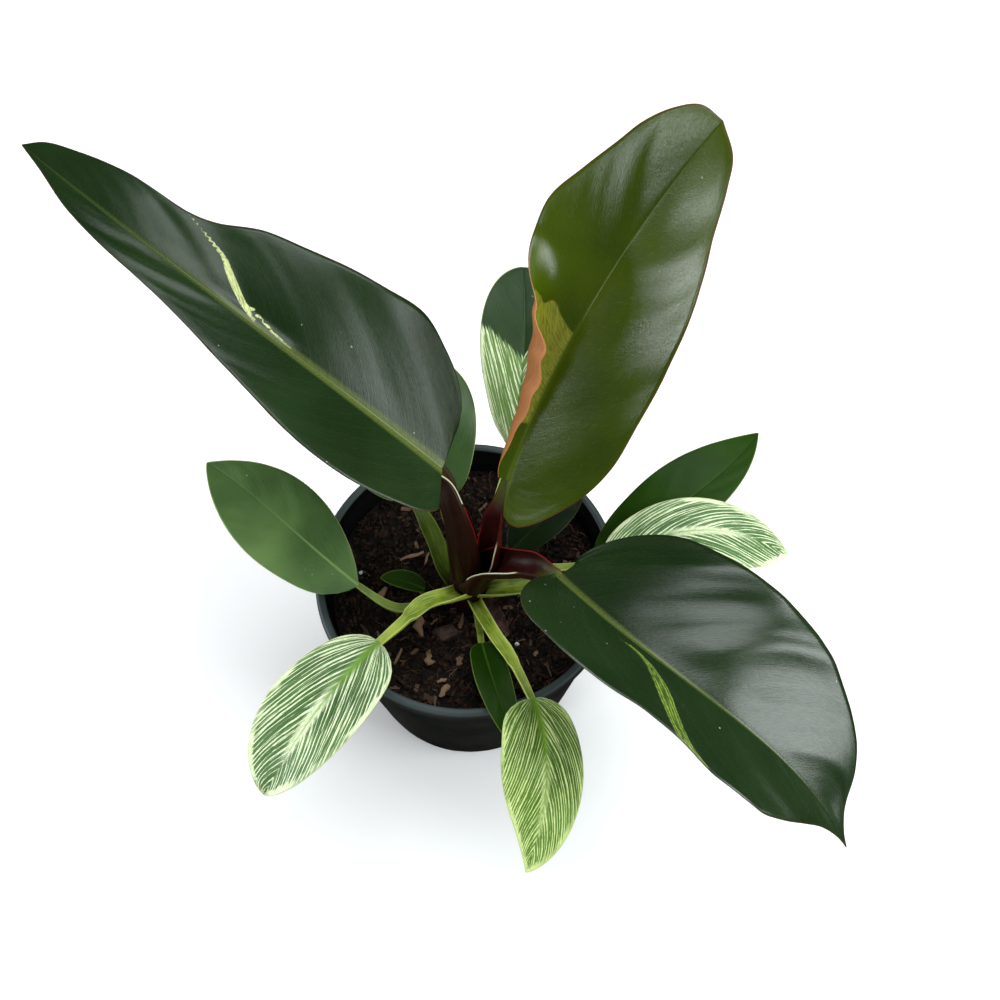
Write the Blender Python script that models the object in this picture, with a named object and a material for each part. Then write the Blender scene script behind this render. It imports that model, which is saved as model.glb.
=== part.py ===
# Philodendron birkin in its black nursery pot, built as a set of separate solids.
# All sizes are in millimetres and degrees, and MM turns millimetres into metres.
# The origin is the middle of the pot's foot, on the surface the pot stands on, with +Z up.
# +X is the right side and -Y the front, as seen by someone who faces the plant.
import math
import random

import bmesh
import bpy
import numpy as np

MM = 0.001
GAP = 0.3                   # clearance between neighbouring solids

# Pot: a 12 cm nursery pot of thin black plastic
POT_HEIGHT = 90.0
RIM_RADIUS = 60.0
LIP_HEIGHT = 5.5
LIP_WIDTH = 2.2             # how far the lip stands out from the wall
FOOT_RADIUS = 45.0
WALL = 1.4
FLOOR = 2.0
FLOOR_LIFT = 2.2            # the floor stands this much above the foot ring
FOOT_WIDTH = 2.6
PAD_RADIUS = 6.0            # a centre pad reaches down to the surface the pot stands on
POT_SIDES = 48
DRAIN_HOLES = 6
DRAIN_RADIUS = 4.0
DRAIN_CIRCLE = 27.0
FOOT_NOTCHES = 6
NOTCH_WIDTH = 22.0
NOTCH_HEIGHT = 1.6
NOTCH_START = -85.0

# Soil
SOIL_LEVEL = 75.0
SOIL_RINGS = 7
SOIL_BUMP = 1.3
SOIL_SEED = 11
CHIP_COUNT = 34
CHIP_SEED = 5

# Stem: a short upright crown that stands in a hole in the soil
STEM_X = 0.5
STEM_Y = -3.5
STEM_LEAN = 0.10            # how far back the stem leans per millimetre above the soil
STEM_SECTIONS = [(50.0, 4.5), (58.0, 7.0), (70.0, 7.8), (82.0, 8.0), (92.0, 7.4), (100.0, 5.8), (104.0, 3.0)]
STEM_SIDES = 14

# Blades
BIG_THICKNESS = 0.8
SMALL_THICKNESS = 0.7
BIG_KEEL = 1.2
SMALL_KEEL = 0.5
GROOVE = 0.45               # how deep the groove of a stalk is, as a share of its radius
FAN_REACH = 0.3             # the fan of a blade ends where its margin is this far out
VEIN_SLANT = 0.75           # how far a side vein runs forward for each millimetre outward

MAROON = ("stalk_maroon", (0.085, 0.012, 0.012, 1.0), 0.38)
LIME = ("stalk_lime", (0.20, 0.34, 0.035, 1.0), 0.42)
DARK_GREEN = ("blade_dark_green", (0.010, 0.040, 0.014, 1.0), 0.25)
OLIVE_GREEN = ("blade_olive_green", (0.035, 0.070, 0.006, 1.0), 0.27)
MID_GREEN = ("blade_mid_green", (0.025, 0.110, 0.018, 1.0), 0.32)
STRIPED_GREEN = ("blade_striped_green", (0.22, 0.34, 0.10, 1.0), 0.36)
POT_BLACK = ("pot_black_plastic", (0.014, 0.016, 0.018, 1.0), 0.48)
SOIL_BROWN = ("soil_dark_brown", (0.030, 0.018, 0.011, 1.0), 0.92)
DRY_RED = ("dry_scale_red", (0.11, 0.025, 0.018, 1.0), 0.6)

# The three large leaves. A margin runs from the junction round the basal lobe to the tip as
# (distance along the midrib, distance out from it), both measured on the blade.
BIG_LEAVES = {
    "leaf_large_left": {
        "midrib": [(-8, 14, 145), (-53, 30, 191), (-103, 57, 213), (-158, 113, 205)],
        "right": [(0, 0), (2, 10), (6, 21), (14, 29), (25, 35), (39, 40), (57, 38), (70, 36), (86, 32), (101, 28),
                  (115, 21), (126, 18), (140, 17), (154, 16), (176, 11), (191, 6), (198, 0)],
        "left": [(0, 0), (-1, 8), (-2, 18), (4, 24), (14, 28), (32, 32), (51, 31), (82, 22), (111, 15),
                 (146, 11), (162, 8), (182, 3), (198, 0)],
        "roll": [(0, 0), (198, 0)],
        "fold_right": [(0, 20), (198, 12)],
        "fold_left": [(0, 20), (198, 12)],
        "curl_right": [(0, 0), (198, 0)],
        "curl_left": [(0, 0), (198, 0)],
        "colour": DARK_GREEN,
    },
    "leaf_large_upright": {
        "midrib": [(16, 12, 140), (32, 39, 184), (54, 56, 220), (79, 64, 262)],
        "right": [(0, 0), (-8, 1), (-14, 3), (-16, 8), (-13, 13), (-5, 20), (8, 28), (27, 34), (50, 36), (74, 36),
                  (94, 34), (112, 28), (125, 22), (137, 16), (144, 11), (148, 0)],
        "left": [(0, 0), (-1, 3), (2, 5), (10, 9), (27, 14), (45, 21), (60, 27), (72, 28), (82, 28), (97, 30),
                 (110, 26), (122, 22), (132, 19), (141, 14), (147, 8), (148, 0)],
        "roll": [(0, 20), (148, 20)],
        "fold_right": [(0, 18), (148, 12)],
        "fold_left": [(0, 22), (148, 12)],
        "curl_right": [(0, 0), (148, 0)],
        "curl_left": [(0, 265), (25, 250), (45, 195), (66, 145), (84, 0), (148, 0)],
        "curl_power": 1.7,
        "colour": OLIVE_GREEN,
    },
    "leaf_large_right": {
        "midrib": [(34, -21, 128), (73, -80, 163), (111, -84, 134), (133, -109, 95)],
        "right": [(0, 0), (0, 8), (5, 17), (13, 27), (21, 32), (30, 33), (40, 33), (50, 31), (60, 27), (70, 26),
                  (84, 30), (98, 28), (110, 22), (134, 7), (146, 2), (154, 0)],
        "left": [(0, 0), (-1, 8), (0, 17), (7, 28), (19, 37), (30, 41), (44, 43), (60, 44), (76, 44), (90, 42),
                 (104, 38), (117, 32), (126, 26), (133, 18), (139, 8), (147, 2), (154, 0)],
        "roll": [(0, -15), (154, -10)],
        "fold_right": [(0, 25), (154, 15)],
        "fold_left": [(0, 25), (154, 15)],
        "curl_right": [(0, 0), (154, 0)],
        "curl_left": [(0, 0), (154, 0)],
        "colour": DARK_GREEN,
    },
}

# The small leaves. Their outline is a formula: half widths right and left, the fullness of the
# base, the fineness of the tip, and the depth of the basal lobes as a share of the length.
SMALL_LEAVES = {
    "leaf_small_left": {
        "midrib": [(-41, -11, 100), (-65, 3, 115), (-79, 20, 115), (-103, 38, 110)],
        "half_width": (16.5, 18.5), "base": (0.9, 0.7), "tip": (1.0, 0.85), "lobe": (0.0, 0.03),
        "roll": [(0, -12), (81, -6)], "fold": [(0, 11), (81, 6)], "colour": MID_GREEN,
    },
    "leaf_striped_left": {
        "midrib": [(-32, -35, 102), (-49, -58, 112), (-60, -73, 103), (-73, -87, 82)],
        "half_width": (18.0, 17.0), "base": (0.60, 0.54), "tip": (0.5, 0.8), "lobe": (0.01, 0.03),
        "roll": [(0, -14), (75, 5)], "fold": [(0, 14), (75, 11)], "colour": STRIPED_GREEN,
    },
    "leaf_striped_front": {
        "midrib": [(25, -57, 102), (33, -82, 107), (29, -100, 98), (22, -114, 80)],
        "half_width": (17.3, 13.2), "base": (0.55, 0.62), "tip": (1.1, 0.8), "lobe": (0.03, 0.03),
        "roll": [(0, -7), (66, 8)], "fold": [(0, 24), (66, 5)], "colour": STRIPED_GREEN,
    },
    "leaf_striped_right": {
        "midrib": [(51, -7, 105), (73, 5, 120), (96, 7, 122), (122, -3, 110)],
        "half_width": (20.0, 14.0), "base": (0.65, 0.70), "tip": (0.7, 0.8), "lobe": (0.04, 0.02),
        "roll": [(0, -12), (78, -4)], "fold": [(0, 17), (78, 5)], "colour": STRIPED_GREEN,
    },
    "leaf_plain_right": {
        "midrib": [(48, 2, 94), (69, 9, 112), (96, 21, 118), (116, 50, 113)],
        "half_width": (12.0, 16.0), "base": (0.8, 0.95), "tip": (1.0, 0.95), "lobe": (0.03, 0.02),
        "roll": [(0, 2), (90, 0)], "fold": [(0, 14), (90, 8)], "colour": MID_GREEN,
    },
    "leaf_dark_front": {
        "midrib": [(6, -29, 86), (9, -43, 92.5), (13, -57, 97.5), (20, -73, 88)],
        "half_width": (7.0, 7.0), "base": (0.45, 0.45), "tip": (0.8, 0.8), "lobe": (0.03, 0.03),
        "roll": [(0, -4), (46, 0)], "fold": [(0, 20), (46, 12)], "colour": MID_GREEN,
    },
    "leaf_striped_back": {
        "midrib": [(17, 34, 125), (22, 48, 147), (23, 67, 158), (22, 95, 160)],
        "half_width": (17.0, 17.0), "base": (0.8, 0.9), "tip": (0.65, 0.6), "lobe": (0.03, 0.02),
        "roll": [(0, -5), (74, 3)], "fold": [(0, 16), (74, 12)], "colour": STRIPED_GREEN,
    },
    "leaf_green_back": {
        "midrib": [(-9, 15, 118), (-9, 30, 132), (-11, 50, 137), (-13, 70, 134)],
        "half_width": (14.5, 14.5), "base": (0.65, 0.65), "tip": (0.6, 0.6), "lobe": (0.02, 0.03),
        "roll": [(0, 0), (62, 6)], "fold": [(0, 16), (62, 9)], "colour": MID_GREEN,
    },
    "leaf_under_left": {
        "midrib": [(-20, 16, 122), (-32, 24, 132), (-46, 36, 137), (-60, 50, 132)],
        "half_width": (13.0, 13.0), "base": (0.62, 0.62), "tip": (0.8, 0.8), "lobe": (0.04, 0.04),
        "roll": [(0, 0), (56, 0)], "fold": [(0, 16), (56, 9)], "colour": MID_GREEN,
    },
    "leaf_under_upright": {
        "midrib": [(17, 7, 94), (25, 12, 101), (34, 19, 104), (46, 30, 101)],
        "half_width": (9.0, 9.0), "base": (0.6, 0.6), "tip": (0.8, 0.8), "lobe": (0.03, 0.03),
        "roll": [(0, 0), (40, 0)], "fold": [(0, 16), (40, 9)], "colour": MID_GREEN,
    },
    "leaf_seedling": {
        "midrib": [(-17, -3, 79), (-23, -1, 82), (-29, 0, 83), (-35, 1, 82)],
        "half_width": (4.8, 3.6), "base": (0.61, 0.62), "tip": (0.78, 0.75), "lobe": (0.02, 0.02),
        "roll": [(0, 0), (19, 0)], "fold": [(0, 18), (19, 12)], "colour": MID_GREEN,
    },
}


# The stalks. Each passes through its points, from inside the stem to just under the base of its
# blade: radius at the foot and at the blade, half width of the sheath at its foot, the share of
# the stalk that the sheath covers, and the direction that the groove faces.
BIG_STALKS = {
    "leaf_large_left": {
        "path": [(0, -2, 84), (-0.2, -1.5, 104), (-1.2, 2.5, 120), (-3.4, 7.4, 131)],
        "radius": (3.2, 2.3), "sheath": 6.0, "sheath_end": 1.0, "face": (0.5, -0.6, 0.6),
    },
    "leaf_large_upright": {
        "path": [(4, -2, 86), (8.0, -2.5, 105), (9.2, 0, 117), (10.8, 5, 127)],
        "radius": (3.0, 2.0), "sheath": 5.4, "sheath_end": 0.8, "face": (-0.6, -0.6, 0.4),
    },
    "leaf_large_right": {
        "path": [(2, -5, 91), (8.5, -6, 108), (17.5, -10.5, 117.5), (24.5, -13.5, 122)],
        "radius": (2.8, 1.9), "sheath": 4.0, "sheath_end": 0.8, "face": (-0.3, 0.3, 0.9),
    },
}
SMALL_STALKS = {
    "leaf_small_left": {
        "path": [(-2, -6, 83), (-9, -9.5, 86), (-18.3, -13.8, 87), (-28, -15.6, 90)],
        "radius": (1.6, 1.2), "sheath": 2.2, "sheath_end": 0.5, "face": (0, 0, 1),
    },
    "leaf_striped_left": {
        "path": [(0, -7, 88), (-6, -11.5, 93), (-15.6, -17.1, 98), (-24.5, -27.1, 100)],
        "radius": (1.9, 1.4), "sheath": 3.2, "sheath_end": 0.6, "face": (0, 0, 1),
    },
    "leaf_striped_front": {
        "path": [(2, -7, 82), (5.5, -16, 87), (11.2, -28.1, 92), (16.8, -38.3, 96)],
        "radius": (1.7, 1.3), "sheath": 4.2, "sheath_end": 0.68, "face": (0, 0, 1),
    },
    "leaf_dark_front": {
        "path": [(2.5, -8, 78), (4, -14, 79), (5, -21, 81)],
        "radius": (1.2, 0.9), "sheath": 1.4, "sheath_end": 0.5, "face": (0, 0, 1),
    },
    "leaf_striped_right": {
        "path": [(3, -5, 84), (12, -7, 89), (24, -8, 94), (38, -8, 99)],
        "radius": (1.8, 1.4), "sheath": 3.4, "sheath_end": 0.62, "face": (0, 0, 1),
    },
    "leaf_plain_right": {
        "path": [(4, -2, 90), (12, -3, 96), (24, -3.5, 100), (36, -2, 97)],
        "radius": (1.5, 1.2), "sheath": 2.0, "sheath_end": 0.5, "face": (0, 0, 1),
    },
    "leaf_striped_back": {
        "path": [(2, 0, 90), (6, 7, 103), (12, 17, 115)],
        "radius": (1.7, 1.3), "sheath": 2.2, "sheath_end": 0.5, "face": (-0.4, -0.6, 0.7),
    },
    "leaf_green_back": {
        "path": [(-1, 2, 88), (-4.5, 8.5, 100), (-7.5, 12, 110)],
        "radius": (1.5, 1.1), "sheath": 1.6, "sheath_end": 0.4, "face": (0.3, -0.6, 0.7),
    },
    "leaf_under_left": {
        "path": [(-3, -2, 82), (-8, 0.5, 92), (-12, 6, 105), (-16.6, 12, 115)],
        "radius": (1.4, 1.2), "sheath": 4.0, "sheath_end": 1.0, "face": (0.2, -0.8, 0.6),
    },
    "leaf_under_upright": {
        "path": [(3, -1, 82), (9, 1, 87), (13, 4, 90)],
        "radius": (1.2, 0.9), "sheath": 1.5, "sheath_end": 0.4, "face": (0, 0, 1),
    },
    "leaf_seedling": {
        "path": [(-17.5, -3, 60), (-17.6, -3, 68), (-18, -3, 74)],
        "radius": (1.1, 0.7), "sheath": 1.2, "sheath_end": 0.3, "face": (1, 0, 0.3),
    },
}
DRY_SCALE = {
    "path": [(5, -6, 80.5), (10, -12, 81), (13.5, -18, 80.5), (16.5, -23, 79.5)],
    "radius": (1.0, 0.5), "sheath": 3.2, "sheath_end": 1.0, "face": (0.2, -0.2, 1), "end_face": np.array([0.0, 0.0, 1.0]),
}


def clear_scene():
    for item in list(bpy.data.objects):
        bpy.data.objects.remove(item, do_unlink=True)


def finish_material(finish):
    name, colour, roughness = finish
    material = bpy.data.materials.get(name)
    if material is None:
        material = bpy.data.materials.new(name)
        material.use_nodes = True
        shader = material.node_tree.nodes["Principled BSDF"]
        shader.inputs["Base Color"].default_value = colour
        shader.inputs["Roughness"].default_value = roughness
        shader.inputs["Metallic"].default_value = 0.0
        material.diffuse_color = colour
    return material


def make_object(name, points, faces, finish, smooth_angle=40.0):
    # points are in millimetres
    mesh = bpy.data.meshes.new(name)
    mesh.from_pydata([tuple(float(c) * MM for c in p) for p in points], [], faces)
    mesh.materials.append(finish_material(finish))
    item = bpy.data.objects.new(name, mesh)
    bpy.context.scene.collection.objects.link(item)
    work = bmesh.new()
    work.from_mesh(mesh)
    bmesh.ops.remove_doubles(work, verts=work.verts, dist=0.001 * MM)
    bmesh.ops.triangulate(work, faces=work.faces)
    bmesh.ops.recalc_face_normals(work, faces=work.faces)
    work.to_mesh(mesh)
    work.free()
    mesh.shade_smooth()
    mesh.set_sharp_from_angle(angle=math.radians(smooth_angle))
    return item


def apply_boolean(item, other, operation, solver="MANIFOLD"):
    # other is an object or a collection, and is removed afterwards
    modifier = item.modifiers.new(operation.lower(), "BOOLEAN")
    modifier.operation = operation
    modifier.solver = solver
    if isinstance(other, bpy.types.Collection):
        modifier.operand_type = "COLLECTION"
        modifier.collection = other
        members = list(other.objects)
    else:
        modifier.object = other
        members = [other]
    bpy.context.view_layer.update()
    depsgraph = bpy.context.evaluated_depsgraph_get()
    cut = bpy.data.meshes.new_from_object(item.evaluated_get(depsgraph))
    item.modifiers.clear()
    item.data = cut
    for member in members:
        bpy.data.objects.remove(member, do_unlink=True)
    if isinstance(other, bpy.types.Collection):
        bpy.data.collections.remove(other)


def ease(x, stations):
    # value at x between (place, value) stations, eased smoothly from each to the next
    places = [s[0] for s in stations]
    values = [s[1] for s in stations]
    share = np.interp(x, places, np.arange(len(places)))
    low = np.minimum(np.floor(share).astype(int), len(places) - 2)
    part = share - low
    part = part * part * (3.0 - 2.0 * part)
    values = np.array(values, dtype=float)
    return values[low] + (values[low + 1] - values[low]) * part


def bezier(handles, t):
    handles = np.array(handles, dtype=float)
    t = np.asarray(t, dtype=float)[:, None]
    order = len(handles) - 1
    point = sum(math.comb(order, i) * (1 - t) ** (order - i) * t ** i * handles[i] for i in range(order + 1))
    slope = sum(order * math.comb(order - 1, i) * (1 - t) ** (order - 1 - i) * t ** i
                * (handles[i + 1] - handles[i]) for i in range(order))
    return point, slope


def unit(vectors):
    return vectors / np.linalg.norm(vectors, axis=-1, keepdims=True)


def arc_lengths(handles, samples=128):
    t = np.linspace(0.0, 1.0, samples)
    point, slope = bezier(handles, t)
    steps = np.linalg.norm(np.diff(point, axis=0), axis=1)
    return t, np.concatenate([[0.0], np.cumsum(steps)])


def midrib_frame(leaf, x):
    # place, forward, right and upward directions at x millimetres along the midrib
    t_table, length_table = arc_lengths(leaf["midrib"])
    length = length_table[-1]
    inside = np.clip(x, 0.0, length)
    point, slope = bezier(leaf["midrib"], np.interp(inside, length_table, t_table))
    forward = unit(slope)
    point = point + forward * (x - inside)[:, None]
    right = unit(np.cross(forward, [0.0, 0.0, 1.0]))
    upward = np.cross(right, forward)
    roll = np.radians(ease(inside, leaf["roll"]))[:, None]
    turned = right * np.cos(roll) - upward * np.sin(roll)
    return point, forward, turned, upward * np.cos(roll) + right * np.sin(roll)


def blade_points(leaf, x, y, side):
    # points of the blade's middle surface, side 1 for the right half and -1 for the left
    word = "right" if side > 0 else "left"
    point, forward, right, upward = midrib_frame(leaf, x)
    fold = np.radians(ease(x, leaf["fold_" + word]))
    curl = np.radians(ease(x, leaf["curl_" + word]))
    reach = leaf["reach_" + word]
    steps = (np.arange(24) + 0.5) / 24
    slopes = fold[:, None] + curl[:, None] * (y[:, None] * steps / reach) ** leaf.get("curl_power", 2.0)
    out = y * np.cos(slopes).mean(axis=1)
    rise = y * np.sin(slopes).mean(axis=1)
    swing, count, phase = leaf.get("wave_" + word, (0.0, 1.0, 0.0))
    rise = rise + swing * np.sin(math.tau * (count * x / leaf["length"] + phase)) * (y / reach) ** 2
    return point + right * (side * out)[:, None] + upward * rise[:, None]


def smooth_curve(points, samples):
    # centripetal curve through the points, read evenly along its length
    points = np.array(points, dtype=float)
    before = 2 * points[0] - points[1]
    after = 2 * points[-1] - points[-2]
    knots = np.vstack([before, points, after])
    gaps = np.sqrt(np.linalg.norm(np.diff(knots, axis=0), axis=1))
    times = np.concatenate([[0.0], np.cumsum(gaps)])
    curve = []
    for i in range(1, len(knots) - 2):
        t0, t1, t2, t3 = times[i - 1:i + 3]
        p0, p1, p2, p3 = knots[i - 1:i + 3]
        for t in np.linspace(t1, t2, 24, endpoint=False):
            a1 = (t1 - t) / (t1 - t0) * p0 + (t - t0) / (t1 - t0) * p1
            a2 = (t2 - t) / (t2 - t1) * p1 + (t - t1) / (t2 - t1) * p2
            a3 = (t3 - t) / (t3 - t2) * p2 + (t - t2) / (t3 - t2) * p3
            b1 = (t2 - t) / (t2 - t0) * a1 + (t - t0) / (t2 - t0) * a2
            b2 = (t3 - t) / (t3 - t1) * a2 + (t - t1) / (t3 - t1) * a3
            curve.append((t2 - t) / (t2 - t1) * b1 + (t - t1) / (t2 - t1) * b2)
    curve.append(points[-1])
    curve = np.array(curve)
    lengths = np.concatenate([[0.0], np.cumsum(np.linalg.norm(np.diff(curve, axis=0), axis=1))])
    even = np.linspace(0.0, lengths[-1], samples)
    return np.stack([np.interp(even, lengths, curve[:, k]) for k in range(points.shape[1])], axis=1)


def formula_margin(length, half_width, base, tip, lobe, samples=200):
    # the lobe runs back from the junction over the first third of the outline
    u = 0.5 - 0.5 * np.cos(np.linspace(0.0, math.pi, samples))
    widest = base / (base + tip)
    full = widest ** base * (1.0 - widest) ** tip
    y = half_width * u ** base * (1.0 - u) ** tip / full
    x = length * (u - lobe * np.sin(math.pi * np.minimum(u / 0.35, 1.0)) ** 2)
    return np.stack([x, y], axis=1)


def prepare_leaf(leaf):
    leaf["length"] = arc_lengths(leaf["midrib"])[1][-1]
    if "right" in leaf:
        for word in ("right", "left"):
            stretch = leaf["length"] / leaf[word][-1][0]
            points = [(x * stretch, y) for x, y in leaf[word]]
            leaf["margin_" + word] = smooth_curve(points, 300)
    else:
        for index, word in enumerate(("right", "left")):
            leaf["margin_" + word] = formula_margin(leaf["length"], leaf["half_width"][index], leaf["base"][index],
                                                    leaf["tip"][index], leaf["lobe"][index])
            leaf["fold_" + word] = leaf["fold"]
            leaf["curl_" + word] = leaf.get("curl", [(0, 0), (leaf["length"], 0)])
    for word in ("right", "left"):
        leaf["reach_" + word] = leaf["margin_" + word][:, 1].max()


def blade_grid(leaf, word, fan, columns, strips):
    # rows of (x, y) from midrib to margin: one each fan degrees round the junction, then side veins
    margin = leaf["margin_" + word]
    feet = margin[:, 0] - VEIN_SLANT * margin[:, 1]
    reach = leaf["reach_" + word]
    start = int(np.argmax((feet > 0.0) & (margin[:, 1] > FAN_REACH * reach)))
    near = int(np.argmax(np.hypot(margin[:, 0], margin[:, 1]) > 0.5 * FAN_REACH * reach))
    angles = np.degrees(np.arctan2(margin[near:start + 1, 1], margin[near:start + 1, 0]))
    first = int(np.max(np.nonzero(angles > angles.max() - 3.0)))
    falling = np.minimum.accumulate(angles[first:])
    rows = []
    for angle in np.linspace(falling[0], falling[-1], 1 + int((falling[0] - falling[-1]) / fan)):
        place = near + first + np.interp(-angle, -falling, np.arange(len(falling)))
        rows.append((0.0, place))
    rising = np.maximum.accumulate(feet[start:])
    even = np.arange(1, columns + 1) / columns
    for foot in leaf["length"] * (0.7 * even + 0.15 - 0.15 * np.cos(math.pi * even)):
        rows.append((foot, start + np.interp(foot, rising, np.arange(len(rising)))))
    grid = []
    for foot, place in rows:
        edge = [np.interp(place, np.arange(len(margin)), margin[:, i]) for i in range(2)]
        grid.append([(foot + (edge[0] - foot) * v, edge[1] * v) for v in strips])
    return grid


def blade_solid(name, leaf, thickness, keel, fan, columns, strips):
    index = {}
    order = []
    faces = []

    def vertex(side, row, place, rows, x, y):
        # the midrib and the tip belong to both halves
        if place == 0:
            key = ("rib", round(x, 3))
        elif row == rows - 1:
            key = ("rib", round(leaf["length"], 3))
        else:
            key = (side, row, place)
        if key not in index:
            index[key] = len(order)
            order.append((side, x, y, place == 0 or row == rows - 1))
        return index[key]

    for side, word in ((1, "right"), (-1, "left")):
        grid = blade_grid(leaf, word, fan, columns, strips[word])
        ids = [[vertex(side, r, p, len(grid), x, y) for p, (x, y) in enumerate(row)] for r, row in enumerate(grid)]
        for r in range(len(ids) - 1):
            for p in range(len(ids[0]) - 1):
                a, b, c, d = ids[r][p], ids[r + 1][p], ids[r + 1][p + 1], ids[r][p + 1]
                for triangle in ((a, b, c), (a, c, d)):
                    if len(set(triangle)) == 3:
                        faces.append(triangle[::-1] if side > 0 else triangle)
    middle = np.zeros((len(order), 3))
    for side in (1, -1):
        picked = [i for i, item in enumerate(order) if item[0] == side]
        x = np.array([order[i][1] for i in picked])
        y = np.array([order[i][2] for i in picked])
        middle[picked] = blade_points(leaf, x, y, side)
    faces = np.array(faces)
    normals = np.zeros_like(middle)
    corner = middle[faces]
    areas = np.cross(corner[:, 1] - corner[:, 0], corner[:, 2] - corner[:, 0])
    for k in range(3):
        np.add.at(normals, faces[:, k], areas)
    normals = unit(normals)
    under = np.full(len(order), thickness / 2)
    for i, (side, x, y, rib) in enumerate(order):
        if rib:
            under[i] = under[i] + keel * max(0.0, 1.0 - x / leaf["length"]) ** 0.7 * min(1.0, x / 4.0 + 0.2)
    points = np.vstack([middle + normals * thickness / 2, middle - normals * under[:, None]])
    count = len(order)
    solid = [tuple(int(i) for i in f) for f in faces]
    edges = {}
    for f in solid:
        for k in range(3):
            edges[(f[k], f[(k + 1) % 3])] = True
    rim = [(a, b) for (a, b) in edges if (b, a) not in edges]
    lower = [tuple(i + count for i in f[::-1]) for f in solid]
    walls = []
    for a, b in rim:
        walls.append((b, a, a + count))
        walls.append((b, a + count, b + count))
    return make_object(name, points, solid + lower + walls, leaf["colour"], 60.0)


def stem_centre(z):
    return STEM_X, STEM_Y + STEM_LEAN * max(0.0, z - SOIL_LEVEL)


def ring_solid(name, rings, finish, smooth_angle=40.0):
    # closed solid through a list of rings with the same number of points, capped at both ends
    count = len(rings[0])
    points = [p for ring in rings for p in ring]
    faces = [tuple(range(count))[::-1]]
    for r in range(len(rings) - 1):
        for k in range(count):
            a, b = r * count + k, r * count + (k + 1) % count
            faces.append((a, b, b + count))
            faces.append((a, b + count, a + count))
    last = (len(rings) - 1) * count
    faces.append(tuple(range(last, last + count)))
    return make_object(name, points, faces, finish, smooth_angle)


def stem_body(name, extra):
    # the crown, or with extra the slightly larger body that clears a space round it
    rings = []
    for z, radius in STEM_SECTIONS:
        cx, cy = stem_centre(z)
        ring = []
        for k in range(STEM_SIDES):
            angle = math.tau * k / STEM_SIDES
            ring.append((cx + (radius + extra) * math.cos(angle), cy + (radius + extra) * math.sin(angle), z))
        rings.append(ring)
    lift = extra if extra else 0.0
    rings[0] = [(x, y, z - lift) for x, y, z in rings[0]]
    rings[-1] = [(x, y, z + lift) for x, y, z in rings[-1]]
    return ring_solid(name, rings, MAROON)


def stalk_rings(stalk, path, segments, extra=0.0, sides=8):
    # sections across the stalk: wide and grooved where its sheath clasps, round above, with the
    # groove turning to face the blade
    centre = smooth_curve(path, segments + 1)
    forward = unit(np.gradient(centre, axis=0))
    centre[0] = centre[0] - forward[0] * extra
    centre[-1] = centre[-1] + forward[-1] * extra
    turn = np.linspace(0.0, 1.0, segments + 1)[:, None] ** 2
    face = unit(np.array(stalk["face"], dtype=float)) * (1.0 - turn) + stalk["end_face"] * turn
    top = unit(face - forward * np.sum(forward * face, axis=1)[:, None])
    across = np.cross(forward, top)
    rings = []
    for i in range(segments + 1):
        share = i / segments
        radius = stalk["radius"][0] + (stalk["radius"][1] - stalk["radius"][0]) * share
        wing = max(0.0, 1.0 - (share / stalk["sheath_end"]) ** 3)
        half = radius + (stalk["sheath"] - stalk["radius"][0]) * wing + extra
        ring = []
        for k in range(sides):
            angle = math.tau * k / sides
            side, rise = math.cos(angle), math.sin(angle) * (radius + extra)
            if k == sides // 4 and extra == 0.0:
                rise = rise * (1.0 - GROOVE * wing)
            ring.append(centre[i] + across[i] * half * side + top[i] * rise)
        rings.append(ring)
    return rings


def stalk_path(leaf, stalk, thickness, keel, run):
    # the stalk's own points, then two that bring it in under the base of its blade
    point, forward, right, upward = midrib_frame(leaf, np.array([3.5]))
    end = point[0] - upward[0] * (thickness / 2 + keel + GAP + stalk["radius"][1])
    stalk["end_face"] = upward[0]
    path = [np.array(p, dtype=float) for p in stalk["path"]]
    if run:
        path.append(end - forward[0] * run)
    return path + [end]


def clear_of_stem(item, big_paths):
    # cuts away what lies inside the stem and its large stalks, and leaves the gap round them
    space = [stem_body("space", GAP)]
    for name, path in big_paths.items():
        space.append(ring_solid("space", stalk_rings(BIG_STALKS[name], path, 12, GAP), MAROON))
    apply_boolean(item, gather("spaces", space), "DIFFERENCE")


def revolve(name, profile, sides, finish):
    # profile is a closed loop of (radius, z)
    points = []
    for k in range(sides):
        angle = math.tau * k / sides
        points.extend((r * math.cos(angle), r * math.sin(angle), z) for r, z in profile)
    count = len(profile)
    faces = []
    for k in range(sides):
        for i in range(count):
            a, b = k * count + i, k * count + (i + 1) % count
            c, d = ((k + 1) % sides) * count + (i + 1) % count, ((k + 1) % sides) * count + i
            faces.append((a, d, c, b))
    return make_object(name, points, faces, finish, 35.0)


def box(name, centre, size, angle, finish):
    points = []
    for sx in (-0.5, 0.5):
        for sy in (-0.5, 0.5):
            for sz in (-0.5, 0.5):
                x, y, z = sx * size[0], sy * size[1], sz * size[2]
                points.append((centre[0] + x * math.cos(angle) - y * math.sin(angle),
                               centre[1] + x * math.sin(angle) + y * math.cos(angle), centre[2] + z))
    faces = [(0, 1, 3, 2), (4, 6, 7, 5), (0, 4, 5, 1), (2, 3, 7, 6), (0, 2, 6, 4), (1, 5, 7, 3)]
    return make_object(name, points, faces, finish)


def gather(name, items):
    group = bpy.data.collections.new(name)
    for item in items:
        group.objects.link(item)
    return group


def wall_radius(z):
    top = POT_HEIGHT - LIP_HEIGHT
    return FOOT_RADIUS + (RIM_RADIUS - LIP_WIDTH - FOOT_RADIUS) * z / top


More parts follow.
